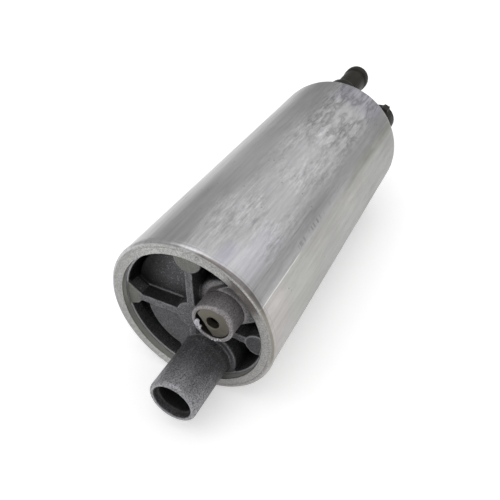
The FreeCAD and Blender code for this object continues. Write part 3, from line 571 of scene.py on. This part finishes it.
def can_metal():
    """Drawn aluminium: mottled along its crown, wrinkled at its far end and plainer at its side, with
    painted light and shade in bands along it, on its side, shoulder and lip.
    """
    name, slot = "can aluminium", "can_aluminium"
    work, place = begin(name)
    x, y, z = work.parts(place)
    inwards = work.minus(x, INLET_END)
    turned = work.maths("ARCTAN2", work.times(z, -1), work.times(y, -1))
    degrees = work.plus(work.times(turned, math.degrees(1)), 180)
    radius = from_axis(work, y, z)
    unrolled = work.joined(x, work.times(turned, CAN_RADIUS), 0)
    tone, crown, height = can_tone(work, place, x, degrees)
    side = work.times(work.steps(degrees, *SIDE_EDGE), work.fades(degrees, 260, 300))
    patches = work.noise(place, 110, 4, 0.6, stretch=(0.4, 1, 1))
    grain = work.noise(place, 2400, 3, 0.75)
    rubs = work.group(RUBS, "Lines", Vector=unrolled, Marks=1900, Length=30, Share=0.6)
    tilt = work.put("ShaderNodeMapping", Vector=unrolled, Rotation=(0, 0, 0.12))
    slants = work.group(RUBS, "Lines", Vector=tilt, Marks=1500, Length=24, Share=0.3)
    pits = work.times(work.fades(work.cells(place, 520), 0.1, 0.15),
                      work.steps(work.noise(place, 160), 0.58, 0.64))

    violet = work.maths("MAXIMUM", work.times(work.near(x, -54 * MM, 2 * MM, 4 * MM),
                                              work.near(degrees, 113, 2, 4)),
                        work.times(work.steps(x, 40 * MM, 50 * MM), work.near(degrees, 115, 18, 6)))
    haze = work.times(work.near(x, -47 * MM, 8 * MM, 5 * MM), work.near(degrees, 127, 6, 4))
    warm = work.times(side, work.fades(x, -52 * MM, -42 * MM))
    green = work.times(side, work.near(x, -38 * MM, 3 * MM, 8 * MM))
    # A painted olive shadow along the edge of the side at the far end.
    olive = work.times(work.near(degrees, 148, 1.5, 4.5), work.steps(x, 2 * MM, 25 * MM),
                       work.steps(patches, 0.3, 0.5, 0.6, 1))
    # The side is painted darker as shade, and warmer in tint.
    colour = work.blend(side, (0.505, 0.503, 0.512, 1), (0.44, 0.435, 0.42, 1))
    colour = work.painted(colour, (violet, 0.75, (0.45, 0.44, 0.5, 1)),
                          (haze, 0.6, (0.5, 0.495, 0.53, 1)), (warm, 0.8, (0.53, 0.5, 0.49, 1)),
                          (green, 0.5, (0.455, 0.465, 0.425, 1)), (olive, 0.5, (0.2, 0.2, 0.14, 1)))
    colour = work.blend(work.times(tone, 0.5), (0, 0, 0, 1), work.tinted(colour, (2, 2, 2)))

    # A painted dark brown reflection on the rounded shoulder of the inlet end.
    off_lip = work.times(work.steps(inwards, 0.04 * MM, 0.1 * MM),
                         work.steps(radius, CREASE_RADIUS, CREASE_RADIUS + 0.1 * MM))
    reach = work.minus(work.steps(degrees, 95, 130, 0.3 * MM, 1.1 * MM),
                       work.steps(degrees, 138, 160, 0, 0.6 * MM))
    within = work.steps(work.minus(reach, inwards), -0.15 * MM, 0.05 * MM)
    shoulder_reflection = work.times(off_lip, within, work.near(degrees, 145, 42, 10),
                         work.steps(patches, 0.25, 0.5, 0.7, 1))
    reflected_brown = work.blend(work.steps(degrees, 140, 155), (0.15, 0.125, 0.11, 1), (0.21, 0.205, 0.165, 1))
    colour = work.painted(colour, (work.times(rubs, crown), 0.55, slot_colour(slot, 1.6)),
                          (work.times(slants, crown), 0.5, slot_colour(slot, 0.5)),
                          (pits, 0.6, slot_colour(slot, 0.3)), (shoulder_reflection, 0.8, reflected_brown))
    lip = work.times(work.fades(inwards, 0.15 * MM, 0.4 * MM),
                     work.minus(1, off_lip))
    # The lip's inner wall is painted lighter and made less metallic, as painted light where it would
    # reflect the dark recess.
    wall = work.times(work.fades(radius, INLET_LIP_RADIUS, INLET_LIP_RADIUS + 0.2 * MM),
                      work.steps(inwards, 0.2 * MM, 0.4 * MM))
    colour = work.blend(lip, colour, lip_face(work, grain, patches, y, radius, degrees))
    colour = work.blend(wall, colour, (0.5, 0.5, 0.45, 1))

    gloss = work.plus(work.steps(patches, 0.3, 0.7, 0.3, 0.4), work.times(crown, 0.12),
                      work.times(lip, 0.1))
    height = work.plus(work.minus(height, work.times(pits, 0.5)),
                       work.times(grain, work.steps(lip, 0, 1, 0.01, 0.15)))
    metallic = work.steps(wall, 0, 1, 1, 0.3)
    return finish(work, name, metallic, colour, gloss, height, (0.6, 0.25 * MM))


def from_axis(work, y, z, centre=(0, 0)):
    """How far a point lies from an axis along X, as a node."""
    return work.length(work.joined(work.minus(y, centre[0]), work.minus(z, centre[1]), 0))


def cast_metal():
    """The die casting: dark and coarse with painted sparkle, paler where it stands out, with painted
    light on the nozzle tip and a rib's foot and painted shade in its hollows, recess, bore and
    depths.
    """
    name, slot = "cover casting", "cover_casting"
    work, place = begin(name)
    x, y, z = work.parts(place)
    inwards = work.minus(x, INLET_END)
    height = work.group(GRAIN, "Height", Vector=place, Grains=2600, Bright_share=0.2)
    # Bright specks: paler grains, painted brighter as sparkle highlights.
    specks = work.group(GRAIN, "Specks", Vector=place, Grains=2100, Bright_share=0.08)
    coarse = work.noise(place, 2300, 3, 0.7)
    fine = work.noise(place, 4800, 2, 0.6)
    drawn = work.noise(place, 1500, 2, 0.6, stretch=(0.1, 1, 1))
    tone = work.plus(work.times(coarse, 0.55), work.times(fine, 0.3), work.times(drawn, 0.15))
    cloud = work.steps(work.noise(place, 160, 3, 0.5), 0.35, 0.65)
    edge = work.attribute("edge")
    chipped = work.steps(edge, 0.6, 0.8)
    # Painted shade in creases and hollows, and deeper into the recess.
    crease_shade = work.fades(edge, -0.15, -0.02)
    depth_shade = work.steps(inwards, 6 * MM, 12 * MM)
    # Painted light on the nozzle towards its tip.
    lit_tip = work.times(work.fades(inwards, -17 * MM, -6 * MM),
                     work.steps(tone, 0.38, 0.57))
    # Painted shade on the recess's shallow floor.
    shallow_shade = work.near(x, SHALLOW_FLOOR, 0.4 * MM, 0.2 * MM)
    front = work.near(x, RIB_TOP, 0.25 * MM, 0.15 * MM)
    web = work.near(x, RIB_TOP + 0.5 * MM, 0.15 * MM, 0.1 * MM)

    from_boss = from_axis(work, y, z, BOSS_CENTRE)
    boss = work.times(work.fades(from_boss, BOSS_REACH - 1.5 * MM, BOSS_REACH),
                      work.fades(x, RIB_TOP + 3 * MM, RIB_TOP + 6 * MM))
    # Painted shade in the gap round the plug.
    plug_gap_shade = work.times(work.fades(from_boss, SEAT_RADIUS, SEAT_RADIUS + 0.2 * MM),
                      work.minus(1, chipped),
                      work.steps(x, BOSS_FACE + 0.1 * MM, BOSS_FACE + 0.5 * MM))
    boss_rim = work.times(boss, work.steps(z, 5 * MM, 8 * MM, 0.4, 1))
    proud = work.times(work.steps(edge, 0.02, 0.16), work.steps(boss_rim, 0, 1, 0.75, 0.1),
                       work.steps(tone, 0.4, 0.52))
    # Painted shade inside the nozzle's bore.
    bore_shade = work.fades(from_axis(work, y, z, NOZZLE_CENTRE), NOZZLE_MOUTH_RADIUS - 0.1 * MM,
                      NOZZLE_MOUTH_RADIUS + 0.15 * MM)

    outer = from_axis(work, y, z)
    skirt = work.times(work.steps(outer, SKIRT_RADIUS, SKIRT_RADIUS + 0.15 * MM),
                       work.fades(x, -56.8 * MM, -56.5 * MM))
    # Painted shade on the rib's upper flank.
    flank_shade = work.times(work.near(z, RIB_HALF_WIDTH, 0.15 * MM, 0.15 * MM),
                       work.steps(y, 4.5 * MM, 6 * MM), work.near(x, -55 * MM, 1.8 * MM, 0.3 * MM))
    # A painted highlight along the foot of the rib.
    foot_highlight = work.times(work.near(x, -52.75 * MM, 0.12 * MM, 0.1 * MM), work.steps(y, 5 * MM, 6 * MM),
                      work.near(z, RIB_HALF_WIDTH, 0.5 * MM, 0.2 * MM))
    # Painted shade on the shallow floor towards +Y and on the skirt's inner wall there.
    shade = work.times(work.near(x, SHALLOW_FLOOR, 0.6 * MM, 0.5 * MM),
                       work.steps(work.plus(y, work.times(z, 0.4)), 12 * MM, 19 * MM))
    skirt_wall_shade = work.times(work.steps(outer, 20.7 * MM, 21 * MM), work.steps(y, 3 * MM, 8 * MM),
                        work.steps(x, RIB_TOP + 0.7 * MM, RIB_TOP + 1.4 * MM),
                        work.steps(z, 0, 2 * MM))
    from_top = from_axis(work, y, z, PAD_TOP)
    top_pad = work.fades(from_top, PAD_TOP_RADIUS, PAD_TOP_RADIUS + 0.4 * MM)
    left_pad = work.steps(y, 17.2 * MM, 17.8 * MM)
    olive = work.times(work.maths("MAXIMUM", top_pad, left_pad), front)
    from_pad = from_axis(work, y, z, PAD_RIGHT)
    dark_pad = work.fades(from_pad, PAD_RIGHT_RADIUS, PAD_RIGHT_RADIUS + 0.3 * MM)
    pad_rim = work.near(from_pad, PAD_RIGHT_RADIUS + 0.55 * MM, 0.1 * MM, 0.15 * MM)

    def cast(share):
        return slot_colour(slot, share)

    colour = work.painted(
        work.blend(work.steps(tone, 0.38, 0.62), cast(0.5), cast(2)),
        (cloud, 0.3, cast(0.6)),
        (boss, work.steps(tone, 0.38, 0.6, 0.25, 0.9), (0.42, 0.39, 0.395, 1)),
        (lit_tip, 0.8, cast(4.6)), (shallow_shade, 0.4, cast(0.6)), (proud, 1, cast(4.4)),
        (specks, 0.7, cast(5)), (plug_gap_shade, 0.9, (0.012, 0.009, 0.007, 1)), (chipped, 1, cast(6.5)),
        (web, 0.5, cast(0.6)), (olive, 0.6, (0.2, 0.205, 0.175, 1)),
        (work.times(dark_pad, front), 0.55, cast(0.45)), (work.times(pad_rim, front), 0.6, cast(3.2)),
        (crease_shade, 0.6, cast(0.3)), (skirt, 0.8, cast(5)),
        (work.maths("MAXIMUM", shade, skirt_wall_shade), 0.9, cast(0.1)), (flank_shade, 0.7, cast(0.25)),
        (foot_highlight, 0.6, cast(3)), (depth_shade, 0.85, cast(0.15)), (bore_shade, 0.9, cast(0.15)))
    gloss = work.steps(tone, 0.42, 0.58, 0.62, 0.4)
    return finish(work, name, 0.75, colour, gloss, height, (0.8, 0.09 * MM))


def moulded_plastic():
    """The outlet moulding: a very dark olive-brown resin with a fine matt skin."""
    name, slot = "outlet resin", "outlet_plastic"
    work, place = begin(name)
    haze = work.group(BLOTCHES, "Mask", Vector=place, Blotches=160)
    skin = work.noise(place, 5200, 2, 0.6)
    dust = work.steps(work.noise(place, 1500, 4, 0.7), 0.62, 0.75)
    colour = work.blend(haze, slot_colour(slot, 0.3), slot_colour(slot, 0.75))
    colour = work.blend(work.times(dust, 0.2), colour, slot_colour(slot, 2.5))
    roughness = work.steps(haze, 0, 1, 0.35, 0.5)
    return finish(work, name, 0, colour, roughness, skin, (0.2, 0.02 * MM),
                  Specular_IOR_Level=0.1)


def simple_metal(slot, roughness=0.35, lines=(1, 0.05, 0.05), scale=2500, tint=(1, 1, 1)):
    """A worked metal: tool lines along one way, stains and a slight change of gloss."""
    work, place = begin(slot)
    tool = work.noise(place, scale, 3, 0.6, stretch=lines)
    stain = work.group(BLOTCHES, "Mask", Vector=place, Blotches=220)
    colour = work.blend(work.steps(tool, 0.3, 0.7), slot_colour(slot, 0.85), slot_colour(slot, 1.15))
    colour = work.blend(work.times(stain, 0.4), colour, slot_colour(slot, 0.65))
    colour = work.tinted(colour, tint)
    gloss = work.steps(tool, 0.3, 0.7, roughness - 0.07, roughness + 0.1)
    return finish(work, slot, 1, colour, gloss, tool, (0.25, 0.02 * MM))


def simple_plain(slot, roughness=0.5, grain=1800, metallic=0):
    """A moulded, pressed or fired material: a fine grain and soft blotches."""
    work, place = begin(slot)
    height = work.group(GRAIN, "Height", Vector=place, Grains=grain)
    specks = work.group(GRAIN, "Specks", Vector=place, Grains=grain, Bright_share=0.12)
    haze = work.group(BLOTCHES, "Mask", Vector=place, Blotches=200)
    colour = work.blend(haze, slot_colour(slot, 0.85), slot_colour(slot, 1.15))
    colour = work.blend(work.times(specks, 0.4), colour, slot_colour(slot, 1.8))
    gloss = work.steps(haze, 0, 1, roughness - 0.08, roughness + 0.08)
    return finish(work, slot, metallic, colour, gloss, height, (0.3, 0.03 * MM))


# Roughness, how the tool lines stretch, lines per metre and tint
WORKED_METALS = {
    "plug_steel": (0.5, (1, 0.6, 0.6), 1800, (1.15, 1.1, 1.18)),
    "ball_steel": (0.12, (1, 1, 1), 900),
    "spring_steel": (0.3,),
    "pump_plate_steel": (0.35, (0.2, 1, 1), 1600),
    "screw_steel": (0.35,),
    "shaft_steel": (0.2, (1, 0.1, 0.1), 3000),
    "core_steel": (0.45, (1, 0.02, 0.02), 1000),
    "winding_copper": (0.3, (1, 0.3, 0.3), 1300),
    "commutator_copper": (0.28, (1, 0.1, 0.1), 3200),
    "flux_steel": (0.4, (0.3, 1, 1), 900),
    "seat_brass": (0.25, (1, 0.1, 0.1), 2600),
    "terminal_tin": (0.28, (0.1, 1, 1), 2200),
}
# Roughness, grains per metre and how metallic
PLAIN_FINISHES = {
    "ball_rubber": (0.6,),
    "seal_rubber": (0.55,),
    "rotor_steel": (0.42, 2200, 1),
    "coupling_plastic": (0.5,),
    "bush_bronze": (0.4, 3000, 1),
    "washer_fibre": (0.7,),
    "insulator_fibre": (0.65,),
    "hub_plastic": (0.35,),
    "magnet_ferrite": (0.55, 1500),
    "holder_plastic": (0.5,),
    "brush_carbon": (0.6, 2600),
}
MATERIALS = {"can_aluminium": can_metal(), "cover_casting": cast_metal(),
             "outlet_plastic": moulded_plastic()}
for metal, look in WORKED_METALS.items():
    MATERIALS[metal] = simple_metal(metal, *look)
for plain, look in PLAIN_FINISHES.items():
    MATERIALS[plain] = simple_plain(plain, *look)


def dress_nodes():
    """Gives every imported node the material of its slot."""
    for entry in frame["record"]["subparts"]:
        node = frame["nodes"][entry["node"]]
        node.data.materials.clear()
        node.data.materials.append(MATERIALS[entry["material_slot"]])


def dress(piece, slot, *nodes, body="pump_body"):
    """Gives a new piece its material and its body, and hides the nodes that it stands for."""
    piece.data.materials.clear()
    piece.data.materials.append(MATERIALS[slot])
    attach(piece, body)
    if nodes:
        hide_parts(*nodes)
    return piece


def dent(place):
    """How far the can's skin lies in or out at a place: ripples at the far top and soft waves."""
    x, y, z = place
    angle = math.atan2(z, y)
    round_it = angle * CAN_RADIUS
    waves = noise.noise(Vector((x * 25, y * 90, z * 90)))
    ripples = noise.noise(Vector((x * 130, round_it * 420, 3.0)))
    ripples += 0.5 * noise.noise(Vector((x * 300, round_it * 700, 9.0)))
    far = min(1.0, max(0.0, (x + 5 * MM) / (25 * MM)))
    top = max(0.0, math.cos(1.4 * (angle - RIPPLE_ANGLE)))
    return (0.02 * waves + 0.05 * ripples * (0.08 + far * top)) * MM


def make_can():
    """The drawn can: both ends rolled in, a creased lip, a rounded shoulder and a bead."""
    neck_start = INLET_END + BEAD_WIDTH
    body_start = neck_start + NECK_WIDTH
    cover_face = INLET_END + INLET_LIP_THICKNESS
    cover_back = OUTLET_END - OUTLET_LIP_THICKNESS
    inner = CAN_RADIUS - CAN_WALL
    corners = [
        (INLET_END, INLET_LIP_RADIUS, 0.3),
        (INLET_END, CREASE_RADIUS - CREASE_WIDTH / 2, 0.04),
        (INLET_END + CREASE_DEPTH, CREASE_RADIUS, 0),
        (INLET_END, CREASE_RADIUS + CREASE_WIDTH / 2, 0.04),
        (INLET_END, BEAD_RADIUS, 1.38),
        (neck_start, BEAD_RADIUS, 0.1), (neck_start, NECK_RADIUS, 0.05),
        (body_start, NECK_RADIUS, 0.05), (body_start, CAN_RADIUS, 0.12),
        (OUTLET_END, CAN_RADIUS, 2.4), (OUTLET_END, OUTLET_LIP_RADIUS, 0.6),
        (cover_back, OUTLET_LIP_RADIUS, 0), (cover_back, inner, 0),
        (cover_face, inner, 0), (cover_face, INLET_LIP_RADIUS, 0.3),
    ]
    outline = rounded_line([(x, r, rounding * MM) for x, r, rounding in corners], 8)
    can = lathe("can_shell", divided(outline, LONGEST_STEP), CAN_SEGMENTS)
    for vertex in can.data.vertices:
        radius = math.hypot(vertex.co.y, vertex.co.z)
        if radius > CREASE_RADIUS and vertex.co.x > body_start:
            vertex.co.yz = vertex.co.yz * (1 + (dent(vertex.co) - SKIN_SETBACK) / radius)
    return dress(can, "can_aluminium", "can")


def cast_skin(place):
    """How far the casting's skin lies in or out at a place."""
    if place.x > INLET_END + 16 * MM:
        return 0
    return (noise.noise(place * 1500) + 0.6 * noise.noise(place * 3100)) * 0.022 * MM


def make_cover():
    """The inlet casting, with mould-rounded edges and a coarse cast skin."""
    cover = softened_copy("cast_cover", "inlet_cover", COVER_VOXEL, 3)
    mark_edges(cover)
    thinned(roughened(cover, cast_skin), MOST_TRIANGLES)
    return dress(cover, "cover_casting", "inlet_cover")


def make_plug():
    """The relief valve's plug, with rounded edges and a lightly marked face."""
    plug = softened_copy("staked_plug", "relief_plug", PLUG_VOXEL, 3)
    mark_edges(plug)
    roughened(plug, lambda place: noise.noise(place * 900) * 0.03 * MM)
    return dress(plug, "plug_steel", "relief_plug")


def make_outlet():
    """The outlet moulding with softly rounded edges."""
    outlet = softened_copy("outlet_moulding", "outlet_cover", OUTLET_VOXEL, 4)
    return dress(outlet, "outlet_plastic", "outlet_cover")


def close_tree(work, given, geometry):
    """Ends a geometry tree: its instances made real and its material set."""
    real = work.put("GeometryNodeRealizeInstances", Geometry=geometry)
    dressed = work.put("GeometryNodeSetMaterial", Geometry=real, Material=given["Material"])
    sink = work.tree.nodes.new("NodeGroupOutput")
    work.tree.interface.new_socket("Geometry", in_out="OUTPUT", socket_type="NodeSocketGeometry")
    work.tree.links.new(dressed, sink.inputs["Geometry"])
    return work.tree


def grown(name, tree, slot, **values):
    """A plain mesh made by a geometry tree from its named inputs."""
    piece = linked(name, bpy.data.meshes.new(name))
    modifier = piece.modifiers.new("tree", "NODES")
    modifier.node_group = tree
    for item in tree.interface.items_tree:
        if item.in_out == "INPUT":
            key = item.name.replace(" ", "_")
            modifier[item.identifier] = MATERIALS[slot] if key == "Material" else values[key]
    return smooth_shaded(baked(piece), 50)


def tube_along(work, curve, wire_radius, sides):
    """A round tube with closed ends along a curve."""
    section = work.put("GeometryNodeCurvePrimitiveCircle", Resolution=sides, Radius=wire_radius)
    return work.put("GeometryNodeCurveToMesh", Curve=curve, Profile_Curve=section, Fill_Caps=True)


def on_circle(work, x, radius, angle):
    """A place at a radius and an angle about the X axis, as a node."""
    return work.joined(x, work.times(radius, work.maths("COSINE", angle)),
                       work.times(radius, work.maths("SINE", angle)))


def with_attribute(work, geometry, name, value):
    """Geometry that carries a value under a name."""
    return work.put("GeometryNodeStoreNamedAttribute", settings={"data_type": "FLOAT"},
                    Geometry=geometry, Name=name, Value=value)


def spring_tree():
    """A wire spring along +X from x = 0, with its turns drawn together at both ends."""
    work, given = open_tree("wire spring", "GeometryNodeTree", {
        "Length": 0.008, "Coil radius": 0.003, "Wire radius": 0.0003, "Turns": 5.0, "Points": 160,
        "Material": "Material"})
    line = work.put("GeometryNodeCurvePrimitiveLine", Start=(0, 0, 0), End=(1, 0, 0))
    line = work.put("GeometryNodeResampleCurve", Curve=line, Count=given["Points"])
    share = work.put("GeometryNodeSplineParameter")
    whole = work.times(share, 2 * math.pi)
    wire = work.times(given["Wire radius"], 2.0)
    free = work.minus(given["Length"], wire)
    closing = work.maths("DIVIDE", work.times(wire, given["Turns"]), free)
    closing = work.minus(1.0, closing)
    swing = work.times(work.maths("SINE", whole), closing, 0.5 / math.pi)
    along = work.times(work.minus(share, swing), free)
    turn = work.times(whole, given["Turns"])
    place = on_circle(work, work.plus(along, given["Wire radius"]), given["Coil radius"], turn)
    curve = work.put("GeometryNodeSetPosition", Geometry=line, Position=place)
    return close_tree(work, given, tube_along(work, curve, given["Wire radius"], 10))


def winding_tree():
    """Wire loops through a slotted core: straight in the slots, fanned out over its faces."""
    work, given = open_tree("core winding", "GeometryNodeTree", {
        "Coils": 8, "Wires": 12, "Points": 96, "Wire radius": 0.0003, "Pitch": 0.0006,
        "Slot radius": 0.011, "Face radius": 0.0063, "Half length": 0.018, "Centre": 0.004,
        "Half span": 1.178, "Corner": 0.25, "Material": "Material"})
    circle = work.put("GeometryNodeCurvePrimitiveCircle", Resolution=given["Points"], Radius=1.0)
    share = work.put("GeometryNodeSplineParameter")
    circle = with_attribute(work, circle, "turn", work.times(share, 2 * math.pi))
    count = work.times(given["Coils"], given["Wires"])
    points = work.put("GeometryNodePoints", Count=count)
    points = with_attribute(work, points, "which", work.put("GeometryNodeInputIndex"))
    loops = work.put("GeometryNodeInstanceOnPoints", Points=points, Instance=circle)
    loops = work.put("GeometryNodeRealizeInstances", Geometry=loops)
    turn = work.put("GeometryNodeInputNamedAttribute", Name="turn")
    which = work.put("GeometryNodeInputNamedAttribute", Name="which")
    coil = work.maths("FLOOR", work.maths("DIVIDE", work.plus(which, 0.5), given["Wires"]))
    wire = work.minus(which, work.times(coil, given["Wires"]))
    row = work.maths("FLOOR", work.maths("DIVIDE", work.plus(wire, 0.5), 4.0))
    column = work.minus(wire, work.times(row, 4.0))

    def squared(value):
        size = work.maths("POWER", work.maths("ABSOLUTE", value), given["Corner"])
        return work.times(work.maths("SIGN", value), size)

    along = squared(work.maths("COSINE", turn))
    across = squared(work.maths("SINE", turn))
    layer = work.times(coil, given["Pitch"], 1.1)
    x = work.times(along, work.plus(given["Half length"], layer))
    x = work.plus(x, given["Centre"])
    depth = work.plus(work.times(across, 1.5), work.minus(row, 1.0))
    in_slot = work.plus(given["Slot radius"], work.times(depth, given["Pitch"]))
    on_face = work.plus(given["Face radius"], work.times(wire, given["Pitch"], 0.93))
    over = work.minus(1.0, work.times(across, across))
    radius = work.plus(in_slot, work.times(over, work.minus(on_face, in_slot)))
    beside = work.times(work.minus(column, 1.5), given["Pitch"])
    beside = work.maths("DIVIDE", beside, given["Slot radius"])
    angle = work.times(across, work.plus(given["Half span"], work.times(beside, across)))
    step = work.maths("DIVIDE", 2 * math.pi, given["Coils"])
    angle = work.plus(angle, work.times(work.plus(coil, 0.5), step))
    curve = work.put("GeometryNodeSetPosition", Geometry=loops,
                     Position=on_circle(work, x, radius, angle))
    return close_tree(work, given, tube_along(work, curve, given["Wire radius"], 6))


def chip_tree():
    """Torn crumbs of metal strewn along an arc about +X."""
    work, given = open_tree("staking chips", "GeometryNodeTree", {
        "Count": 6, "Radius": 0.005, "Start": 0.0, "End": 1.0, "Size": 0.0005, "Seed": 1,
        "Material": "Material"})
    points = work.put("GeometryNodePoints", Count=given["Count"])
    share = work.maths("DIVIDE", work.put("GeometryNodeInputIndex"), given["Count"])
    spread = work.minus(given["End"], given["Start"])
    angle = work.plus(given["Start"], work.times(share, spread))
    drift = work.put("FunctionNodeRandomValue", out=1, n2=-1.0, n3=1.0, Seed=given["Seed"])
    radius = work.plus(given["Radius"], work.times(drift, given["Size"], 0.6))
    points = work.put("GeometryNodeSetPosition", Geometry=points,
                      Position=on_circle(work, 0.0, radius, angle))
    crumb = work.put("GeometryNodeMeshIcoSphere", Radius=given["Size"], Subdivisions=4)
    next_seed = work.plus(given["Seed"], 1.0)
    scale = work.put("FunctionNodeRandomValue", settings={"data_type": "FLOAT_VECTOR"},
                     n0=(0.5, 0.6, 0.4), n1=(1.3, 1.4, 0.9), Seed=next_seed)
    turned = work.put("FunctionNodeRandomValue", settings={"data_type": "FLOAT_VECTOR"},
                      n0=(0.0, 0.0, 0.0), n1=(6.28, 6.28, 6.28), Seed=given["Seed"])
    crumbs = work.put("GeometryNodeInstanceOnPoints", Points=points, Instance=crumb,
                      Rotation=turned, Scale=scale)
    crumbs = work.put("GeometryNodeRealizeInstances", Geometry=crumbs)
    bumps = work.noise(work.put("GeometryNodeInputPosition"), 1800.0, 2.0, 0.6)
    push = work.times(work.minus(bumps, 0.5), given["Size"], 2.4)
    offset = work.vector_maths("SCALE", work.put("GeometryNodeInputNormal"), Scale=push)
    crumbs = work.put("GeometryNodeSetPosition", Geometry=crumbs, Offset=offset)
    return close_tree(work, given, with_attribute(work, crumbs, "edge", 1.0))


def moved(piece, matrix):
    """The piece with its mesh moved, its object left at the origin."""
    piece.data.transform(matrix)
    piece.data.update()
    return piece


def make_spring(node, tree, along, coil_radius, wire_radius, turns):
    """A valve or brush spring in the place of its node.

    The joint's piece meets the spring at its moving end, or inset from it on a ball.
    """
    low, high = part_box(node)
    middle = (low + high) / 2
    axis = Vector(along)
    span = abs((high - low).dot(axis))
    start = middle - axis * span / 2
    points = int(24 * turns)
    spring = grown(node + "_wire", tree, "spring_steel", Length=span, Coil_radius=coil_radius,
                   Wire_radius=wire_radius, Turns=turns, Points=points)
    turned = Vector((1, 0, 0)).rotation_difference(axis).to_matrix().to_4x4()
    moved(spring, Matrix.Translation(start) @ turned)
    dress(spring, "spring_steel", node)
    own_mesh(spring)


def make_springs():
    """The springs of both valves and both brushes."""
    tree = spring_tree()
    make_spring("relief_spring", tree, (1, 0, 0),
                2.2 * MM, 0.35 * MM, 4.0)
    make_spring("check_valve_spring", tree, (1, 0, 0),
                3.2 * MM, 0.35 * MM, 5.0)
    make_spring("brush_spring_upper", tree, (0, 0, 1),
                1.7 * MM, 0.22 * MM, 4.0)
    make_spring("brush_spring_lower", tree, (0, 0, 1),
                1.7 * MM, 0.22 * MM, 4.0)


def make_windings():
    """The armature's copper wire, eight coils of twelve wires that each span three slots."""
    low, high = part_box("armature_windings")
    face_low, face_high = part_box("armature_insulators")
    wire_radius = 0.27 * MM
    winding = grown("armature_wire", winding_tree(), "winding_copper", Coils=8, Wires=12, Points=96,
                    Wire_radius=wire_radius, Pitch=2.07 * wire_radius, Slot_radius=10.9 * MM,
                    Face_radius=6.4 * MM, Half_length=(face_high.x - face_low.x) / 2 + 0.7 * MM,
                    Centre=(low.x + high.x) / 2, Half_span=math.radians(67.5), Corner=0.25)
    dress(winding, "winding_copper", "armature_windings", body="armature")


def make_chips():
    """The crumbs that the staking left round the plug."""
    tree = chip_tree()
    place = Matrix.Translation((BOSS_FACE - 0.02 * MM, *BOSS_CENTRE))
    spots = (("chips_side", 6, 4.45, -36, 2, 0.55, 4), ("chips_low", 5, 5.3, -116, -72, 0.3, 9))
    for name, count, radius, start, end, size, seed in spots:
        chips = grown(name, tree, "cover_casting", Count=count, Radius=radius * MM,
                      Start=math.radians(start), End=math.radians(end), Size=size * MM, Seed=seed)
        dress(moved(chips, place), "cover_casting")


def floor_material():
    """A white floor that keeps the shadow: lit white, lifted for the camera and in reflections."""
    work, place = begin("studio floor")
    tree = work.tree
    shader = tree.nodes["Principled BSDF"]
    shader.inputs["Base Color"].default_value = (0.82, 0.82, 0.82, 1)
    shader.inputs["Roughness"].default_value = 0.9
    rays = tree.nodes.new("ShaderNodeLightPath")
    seen = work.plus(rays.outputs["Is Camera Ray"], rays.outputs["Is Glossy Ray"])
    seen = work.maths("ADD", seen, rays.outputs["Is Transmission Ray"], clamp=True)
    lift = work.times(seen, work.steps(work.length(place), *LIFT_REACH, *FLOOR_LIFT))
    work.feed(shader, "Emission Strength", lift)
    shader.inputs["Emission Color"].default_value = (1, 1, 1, 1)
    return bpy.data.materials["studio floor"]


def make_floor():
    """A wide floor at the can's lowest line."""
    mesh = bpy.data.meshes.new("floor")
    corners = [(FLOOR_HALF * x, FLOOR_HALF * y, CAN_LOW.z)
               for x, y in ((-1, -1), (1, -1), (1, 1), (-1, 1))]
    mesh.from_pydata(corners, [], [(0, 1, 2, 3)])
    floor = linked("floor", mesh)
    mesh.materials.append(floor_material())


def make_world():
    """Studio light, white where the camera sees it and elsewhere dimmer at the horizon than above."""
    world = bpy.data.worlds.new("studio")
    bpy.context.scene.world = world
    world.use_nodes = True
    work = Surface(world.node_tree)
    background = world.node_tree.nodes["Background"]
    rays = world.node_tree.nodes.new("ShaderNodeLightPath")
    height = work.parts(work.put("ShaderNodeTexCoord", out="Generated"))[2]
    soft = work.steps(height, HORIZON_LOW, HORIZON_HIGH, HORIZON_LIGHT, SKY_LIGHT)
    seen = rays.outputs["Is Camera Ray"]
    unseen = work.minus(1.0, seen)
    work.feed(background, "Strength", work.plus(seen, work.times(unseen, soft)))
    background.inputs["Color"].default_value = (1, 1, 1, 1)


def make_lamp(name, place, target, size, power):
    """A soft box that shines at a target."""
    data = bpy.data.lights.new(name, "AREA")
    data.shape = "RECTANGLE"
    data.size, data.size_y = size
    data.energy = power
    lamp = linked(name, data)
    lamp.location = place
    lamp.rotation_mode = "QUATERNION"
    lamp.rotation_quaternion = (Vector(target) - Vector(place)).to_track_quat("-Z", "Y")
    return lamp


def make_camera():
    """The camera at the photograph's place and angle."""
    data = bpy.data.cameras.new("camera")
    data.lens = LENS
    data.sensor_width = SENSOR
    data.clip_start = 0.005
    data.clip_end = 50
    camera = linked("camera", data)
    azimuth, elevation = math.radians(VIEW_AZIMUTH), math.radians(VIEW_ELEVATION)
    forward = Vector((-math.sin(azimuth) * math.cos(elevation),
                      math.cos(azimuth) * math.cos(elevation), -math.sin(elevation)))
    camera.location = CAMERA_PLACE
    camera.rotation_mode = "QUATERNION"
    camera.rotation_quaternion = forward.to_track_quat("-Z", "Y")
    bpy.context.scene.camera = camera


make_camera()
dress_nodes()
make_can()
make_cover()
make_plug()
make_outlet()
make_springs()
make_windings()
make_chips()
make_floor()
make_world()
make_lamp("top box", (-0.25, 0.05, 0.8), (0, 0, 0), (0.9, 0.9), 2.8)
make_lamp("back box", (0.8, -0.25, 0.75), (0, 0, 0), (0.7, 1.3), 1.2)
bpy.context.scene.view_settings.view_transform = "Standard"
